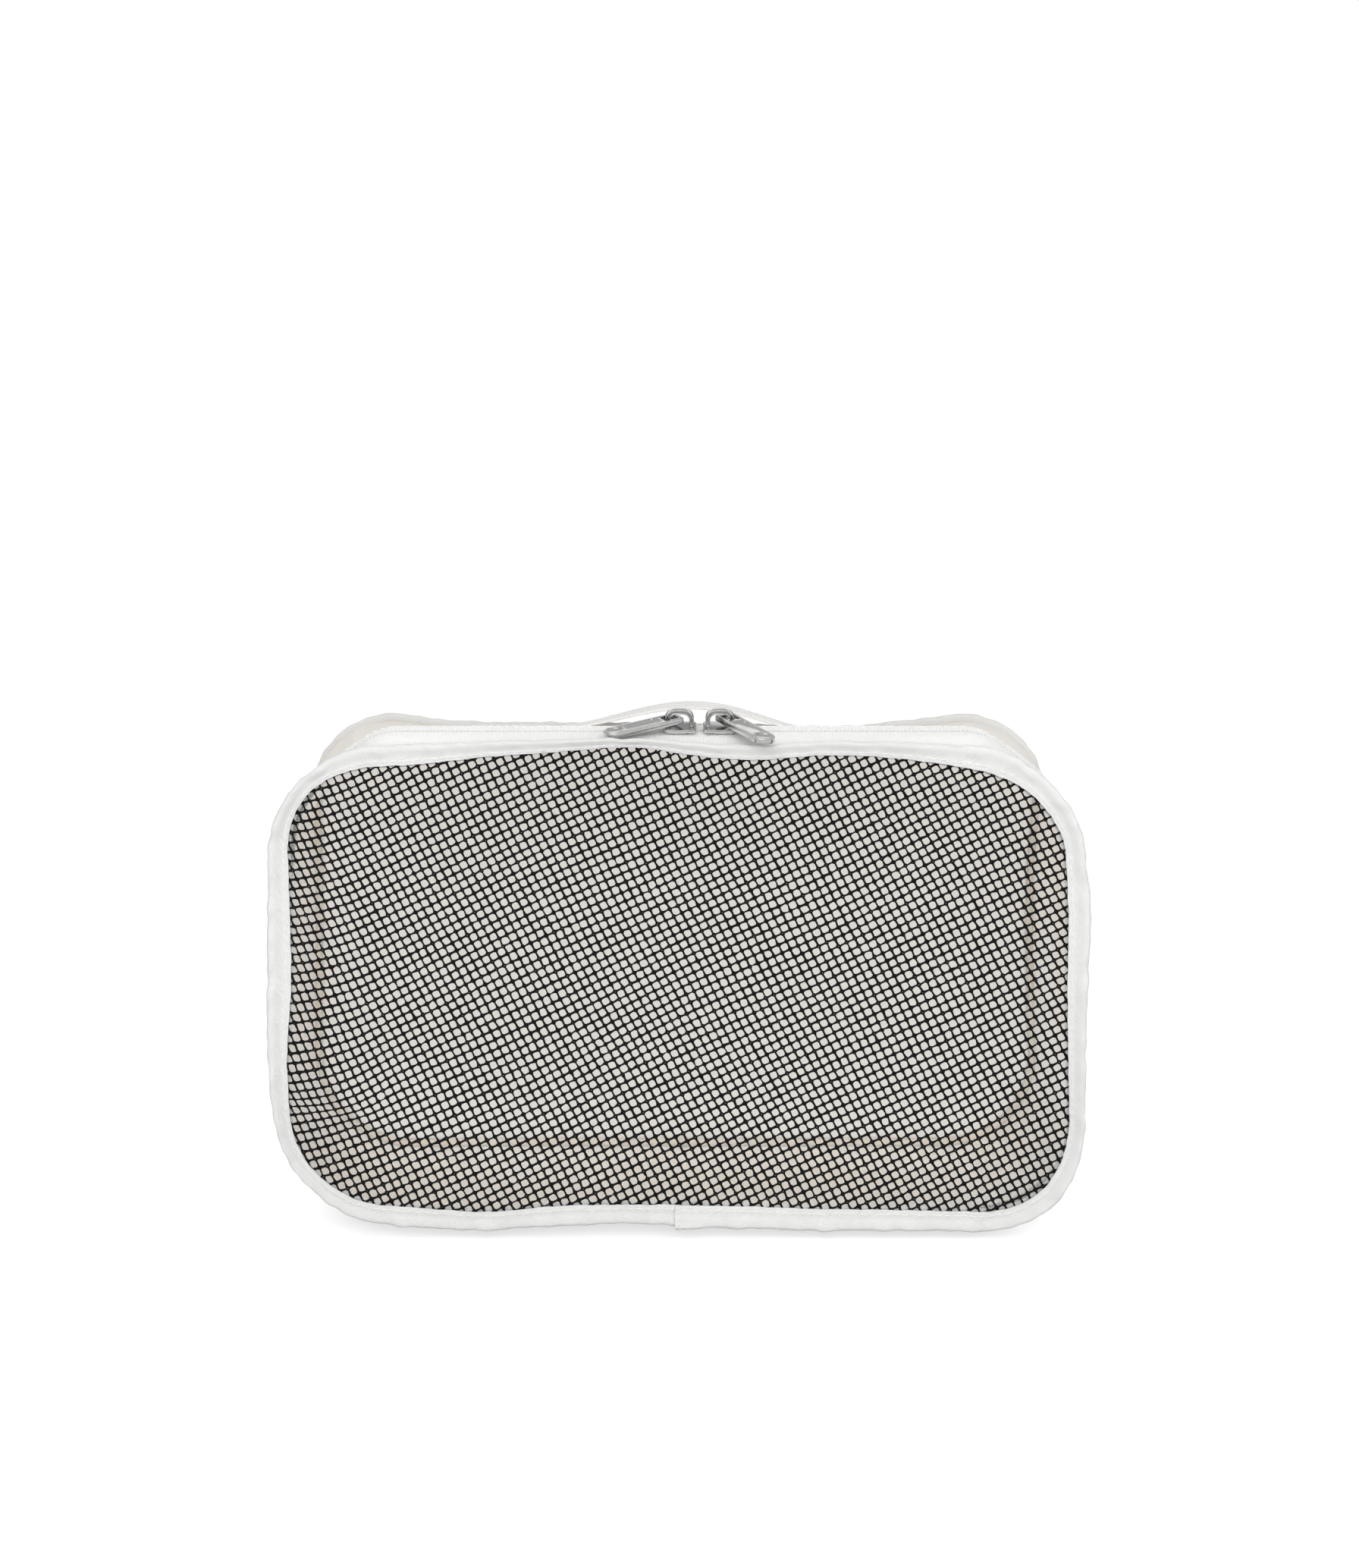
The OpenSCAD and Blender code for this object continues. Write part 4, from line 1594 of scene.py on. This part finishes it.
@dataclass
class BackPanel:
    """Cloth panel inside the back binding.

    Tuck and loose are distances out from the back edge: where the panel ends, and where its folds fade.
    Cover, the share of its flat size inside the rounded corners, is not used.
    """

    step: float = 1.6
    half: float = 140.0
    plane: float = PANEL_DEPTH
    tuck: float = -0.9
    loose: tuple[float, float] = (-26.0, -6.0)
    sag: float = 0.4
    cover: float = 0.96
    creases: Creases = field(default_factory=lambda: Creases(
        count=46, spread=(280.0, 165.0), length=(16, 60), width=(2.5, 7.0), depth=(-1.5, 0.7), lean=(0, 180),
        seed=8))
    obj: bpy.types.Object | None = None

    def build(self) -> bpy.types.Object:
        """Cuts the panel from a grid and presses its folds.

        Returns:
            The panel.
        """
        xs = np.arange(-self.half, self.half + 0.1, self.step)
        zs = np.arange(0.0, SEAM.height + 0.1, self.step)
        x, z = np.meshgrid(xs, zs, indexing="ij")
        along, out = SEAM.locate(x, z)
        out = out - BACK_EDGE.at(along, SEAM.length)
        free = 1 - ease(out, *self.loose)
        y = self.plane + free * (self.creases.height(x + self.half, z) - self.sag)
        index = np.arange(x.size).reshape(x.shape)
        corners = [index[:-1, :-1], index[1:, :-1], index[1:, 1:], index[:-1, 1:]]
        kept = np.stack([out.ravel()[c] for c in corners]).max(axis=0) < self.tuck
        faces = np.stack(corners, -1)[kept][:, ::-1]
        used, faces = np.unique(faces, return_inverse=True)
        points = np.stack([x, y, z], -1).reshape(-1, 3)[used]
        uv = points[:, [0, 2]] * MM
        self.obj = make_mesh("back_cloth", points, faces.reshape(-1, 4), uv)
        smooth(self.obj, 180)
        return self.obj

    def dress(self, finishes: Finishes) -> None:
        """Gives the panel the gusset's weave.

        Args:
            finishes: All finishes.
        """
        self.obj.data.materials.append(finishes.panel)
        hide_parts("back_panel")
        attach(self.obj, "bag")


@dataclass
class SeamAllowance:
    """Raw edges of gusset and back panel, pressed to one side inside the back seam.

    The section holds (distance out from the back edge's root, y, share of the wave in out and in y).
    """

    stations: int = 420
    root: float = 2.6
    section: tuple[tuple[float, float, float, float], ...] = (
        (0.6, 45.3, 0.0, 0.0), (-0.7, 45.45, 0.0, 0.0), (-1.6, 45.5, 0.2, 0.0), (-2.4, 45.5, 0.4, 0.1))
    seed: int = 17
    obj: bpy.types.Object | None = None

    def build(self) -> bpy.types.Object:
        """Lofts the narrow flap along the seam.

        Returns:
            The flap.
        """
        rng = np.random.default_rng(self.seed)
        along = np.linspace(0.0, SEAM.length, self.stations)
        wave = ripple(along, SEAM.length, (23, 41, 67), rng)
        inner = BACK_EDGE.at(along, SEAM.length) - self.root
        knots = np.stack([
            np.stack([inner + out + out_share * wave, y + y_share * wave], -1)
            for out, y, out_share, y_share in self.section
        ], 1)
        line = smooth_line(knots, 2)
        grid = SEAM.points(along[:, None], line[..., 0], line[..., 1])
        self.obj = loft("back_seam_allowance", grid, closed=True)
        smooth(self.obj, 180)
        return self.obj

    def dress(self, finishes: Finishes) -> None:
        """Gives the flap its tan colour, which is painted warm shade of the seam's crease.

        Args:
            finishes: All finishes.
        """
        # The flap's tan is painted warm shade
        self.obj.data.materials.append(finishes.ridge)
        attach(self.obj, "bag")


@dataclass
class CarryStrap:
    """Narrow tape sewn down at both ends, with a free loop that leans to the front.

    Lift is where the loop leaves the cloth at each side, follow how much of the back edge's run the tape
    takes up, crown how far its middle stands up and pucker how far its sewn ends ripple.
    """

    left: float = -80.0
    right: float = 82.0
    lift_left: float = -47.0
    lift_right: float = 52.0
    skew: float = 1.08
    fullness: float = 0.78
    width: float = 10.0
    thick: float = 0.9
    rise: float = 8.8
    lean: float = 10.0
    base_out: float = -7.7
    base_y: float = 38.7
    base_lean: float = 2.0
    forward: float = 1.6
    follow: float = 0.9
    crown: float = 0.12
    pucker: float = 0.12
    soft_edge: float = 0.3
    hem: float = 1.6
    stitch_lift: float = 0.12
    stations: int = 150
    columns: int = 9
    grid: Array = field(default_factory=lambda: np.empty(0))
    obj: bpy.types.Object | None = None
    rows: list[bpy.types.Object] = field(default_factory=list)

    def build(self) -> bpy.types.Object:
        """Lofts the tape along its wave.

        Returns:
            The tape.
        """
        x = np.linspace(self.left, self.right, self.stations)
        t = np.clip((x - self.lift_left) / (self.lift_right - self.lift_left), 0.0, 1.0) ** self.skew
        wave = ((1 - np.cos(2 * math.pi * t)) / 2) ** self.fullness
        lean = np.radians(self.base_lean + (self.lean - self.base_lean) * wave)
        across = np.linspace(-0.5, 0.5, self.columns) * self.width
        crown = self.crown * np.cos(across / self.width * math.pi)
        y = self.base_y + self.forward * wave[:, None] + across * np.cos(lean)[:, None]
        base = SEAM.height + self.base_out + self.follow * back_stray(SEAM.length / 2 - x)[:, None]
        z = base + self.rise * wave[:, None] + across * np.sin(lean)[:, None] + crown
        z += self.pucker * np.sin(x / 4.1)[:, None] * (1 - wave)[:, None] * np.cos(across / 2.7)
        self.grid = np.stack([np.broadcast_to(x[:, None], y.shape), y, z], -1)
        self.obj = loft("carry_strap", self.grid)
        thicken(self.obj, self.thick)
        edge = self.obj.modifiers.new("edges", "BEVEL")
        edge.width, edge.segments, edge.limit_method = self.soft_edge * MM, 2, "ANGLE"
        only(self.obj)
        bpy.ops.object.modifier_apply(modifier=edge.name)
        smooth(self.obj, 60)
        return self.obj

    def sew(self, stitching: Stitching) -> None:
        """Sews a long box of stitches on each end.

        Args:
            stitching: The stitch to sew with.
        """
        for side, (near, far) in (("left", (self.left + 2, self.lift_left - 4)),
                                  ("right", (self.lift_right + 4, self.right - 2))):
            inset = self.hem / self.width
            corners = [(near, inset), (far, inset), (far, 1 - inset), (near, 1 - inset), (near, inset)]
            path = []
            for (xa, va), (xb, vb) in zip(corners, corners[1:]):
                steps = max(2, int(abs(xb - xa) / 1.0) + int(abs(vb - va) * self.width))
                path += [(xa + (xb - xa) * k / steps, va + (vb - va) * k / steps) for k in range(steps)]
            path = np.array(path)
            row = np.interp(path[:, 0], self.grid[:, 0, 0], np.arange(self.stations)).round().astype(int)
            column = (path[:, 1] * (self.columns - 1)).round().astype(int)
            line = self.grid[row, column].copy()
            line[:, 0] = path[:, 0]
            low, high = self.grid[row, 0], self.grid[row, -1]
            line[:, 1:] = (low + (high - low) * path[:, 1:2])[:, 1:]
            line[:, 2] += self.thick / 2 + self.stitch_lift
            up = np.tile([0.0, 0.0, 1.0], (len(line), 1))
            self.rows.append(stitching.row(f"strap_stitches_{side}", line, up))

    def dress(self, finishes: Finishes) -> None:
        """Gives the tape its weave and the rows their thread.

        Args:
            finishes: All finishes.
        """
        self.obj.data.materials.append(finishes.strap)
        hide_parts("handle_end_left", "handle_loop", "handle_end_right")
        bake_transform(self.obj)
        dress_stitches(self.rows, finishes, "bag")


# ---------------------------------------------------------------- stage


@dataclass
class Stage:
    """Camera, soft lamps, white surroundings and pale floor.

    Bands are (height of the direction, brightness) pairs of what polished metal mirrors. A lamp's share is
    its power beside the key lamp's.
    """

    lens: float = 46.7
    eye: tuple[float, float, float] = (0.0, -0.739, 0.233)
    shift: float = -0.1468
    ambient: float = 0.62
    key: float = 5.6
    fill_share: float = 0.38
    front_share: float = 2.25
    back_share: float = 1.80
    floor_size: float = 6.0
    floor_gap: float = 0.0002
    floor_glow: float = 0.6
    bands: tuple[tuple[float, float], ...] = (
        (0.0, 0.10), (0.12, 0.02), (0.22, 0.85), (0.44, 1.0), (0.54, 0.42), (0.74, 0.55), (1.0, 1.0))

    def camera(self) -> None:
        """Places the camera level at the photograph's height, framed as the photograph is."""
        lens = bpy.data.cameras.new("camera")
        lens.lens, lens.sensor_width, lens.sensor_fit = self.lens, 36.0, "AUTO"
        lens.clip_start, lens.clip_end = 0.01, 50.0
        lens.shift_y = self.shift
        eye = bpy.data.objects.new("camera", lens)
        eye.location = self.eye
        eye.rotation_euler = (math.radians(90), 0.0, 0.0)
        bpy.context.scene.collection.objects.link(eye)
        bpy.context.scene.camera = eye

    def surroundings(self) -> None:
        """Makes the world white to the camera, plain to the object and banded to polished metal."""
        world = bpy.data.worlds.new("surroundings")
        world.use_nodes = True
        g = Graph(world.node_tree)
        path = g.node("ShaderNodeLightPath").outputs
        way = g.node("ShaderNodeSeparateXYZ", {0: g.node("ShaderNodeTexCoord").outputs["Generated"]}).outputs
        ramp = g.node("ShaderNodeValToRGB", {0: way[2]})
        stops = ramp.color_ramp.elements
        for height, level in self.bands[1:-1]:
            stops.new(height).color = (level, level, level, 1.0)
        for stop, (height, level) in ((stops[0], self.bands[0]), (stops[-1], self.bands[-1])):
            stop.position, stop.color = height, (level, level, level, 1.0)
        colour = g.mix(path["Is Glossy Ray"], (self.ambient, self.ambient, self.ambient, 1), ramp.outputs[0])
        colour = g.mix(path["Is Camera Ray"], colour, (1, 1, 1, 1))
        round_about = g.node("ShaderNodeBackground", {"Color": colour, "Strength": 1.0})
        g.node("ShaderNodeOutputWorld", {"Surface": round_about.outputs[0]})
        bpy.context.scene.world = world

    def lamps(self) -> None:
        """Hangs a key lamp above the front left, a weak one at the right, and two in front and behind."""
        for name, power, size, place, turn in (
            ("key", self.key, 1.2, (-0.45, -0.95, 1.15), (42, 0, -22)),
            ("fill", self.key * self.fill_share, 1.4, (0.9, -0.5, 0.7), (60, 0, 62)),
            ("front", self.key * self.front_share, 1.2, (0.1, -1.3, 0.35), (79, 0, 4)),
            ("back", self.key * self.back_share, 1.4, (0.2, 1.4, 0.2), (-86, 0, -8)),
        ):
            lamp = bpy.data.lights.new(name, "AREA")
            lamp.energy, lamp.size = power, size
            hung = bpy.data.objects.new(name, lamp)
            hung.location = place
            hung.rotation_euler = [math.radians(a) for a in turn]
            hung.visible_glossy = name == "key"
            bpy.context.scene.collection.objects.link(hung)

    def floor(self) -> None:
        """Lays a plain floor that looks white to the camera and keeps the shadow."""
        bpy.ops.object.select_all(action="DESELECT")
        bpy.ops.mesh.primitive_plane_add(size=self.floor_size, location=(0, 0, -self.floor_gap))
        floor = bpy.context.object
        floor.name = "floor"
        bpy.ops.object.transform_apply(location=True, rotation=True, scale=True)
        made, g = blank_material("pale_floor")
        place = g.node("ShaderNodeTexCoord").outputs
        cloud = g.node("ShaderNodeTexNoise", {"Vector": place["Object"], "Scale": 3.0})
        colour = g.mix(cloud.outputs[0], (0.61, 0.61, 0.61, 1), (0.65, 0.65, 0.65, 1))
        matt = g.node("ShaderNodeBsdfDiffuse", {"Color": colour})
        glow = g.node("ShaderNodeEmission", {"Color": (1, 1, 1, 1), "Strength": self.floor_glow})
        dark = g.node("ShaderNodeEmission", {"Color": (0, 0, 0, 1), "Strength": 0.0})
        eye = g.node("ShaderNodeLightPath").outputs["Is Camera Ray"]
        shown = g.node("ShaderNodeMixShader", {0: eye, 1: dark.outputs[0], 2: glow.outputs[0]})
        both = g.node("ShaderNodeAddShader", {0: matt.outputs[0], 1: shown.outputs[0]})
        g.end(both.outputs[0])
        floor.data.materials.append(made)

    def build(self) -> None:
        """Sets the whole stage."""
        bpy.context.scene.view_settings.view_transform = "Standard"
        self.camera()
        self.surroundings()
        self.lamps()
        self.floor()


def main() -> None:
    """Builds the pieces in order and reports each one."""
    logging.basicConfig(level=logging.INFO, format="%(message)s")
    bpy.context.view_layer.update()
    Stage().build()
    finishes = Finishes()
    stitching = Stitching()
    stitching.build()
    assemblies = [
        Net(),
        FoldedBinding("front_binding_tape", "front_binding", "lid", Facing.FRONT, NET_EDGE, FOLD_EDGE,
                      relief=1.0),
        FoldedBinding("back_binding_tape", "back_binding", "bag", Facing.BACK, BACK_INNER, BACK_EDGE,
                      leaf=0.0, hidden=0.44, tape=0.011, seed=9),
        ZipTape("front_tape", "front_zip_tape", "lid", front=True),
        ZipTape("rear_tape", "rear_zip_tape", "bag", front=False),
        ZipCoil("front_coil", "front_zip_coil", "lid", start=9.0, end=11.65),
        ZipCoil("rear_coil", "rear_zip_coil", "bag", start=13.15, end=15.8),
        Gusset(),
        BackPanel(),
        SeamAllowance(),
        CarryStrap(),
    ]
    for side in ("left", "right"):
        assemblies += [
            CastPiece(f"{side}_slider_body", f"{side}_slider", soft_edge=0.16),
            CastPiece(f"{side}_slider_crown", f"{side}_slider", soft_edge=0.10),
            CastPiece(f"{side}_pull", f"{side}_pull", soft_edge=0.42, inner_share=0.3),
        ]
    for assembly in assemblies:
        made = assembly.build()
        if isinstance(assembly, (FoldedBinding, ZipTape, CarryStrap)):
            assembly.sew(stitching)
        assembly.dress(finishes)
        LOG.info("%s: %d faces", made.name, len(made.data.polygons))
    stitching.clear()


if __name__ == "__main__":
    main()
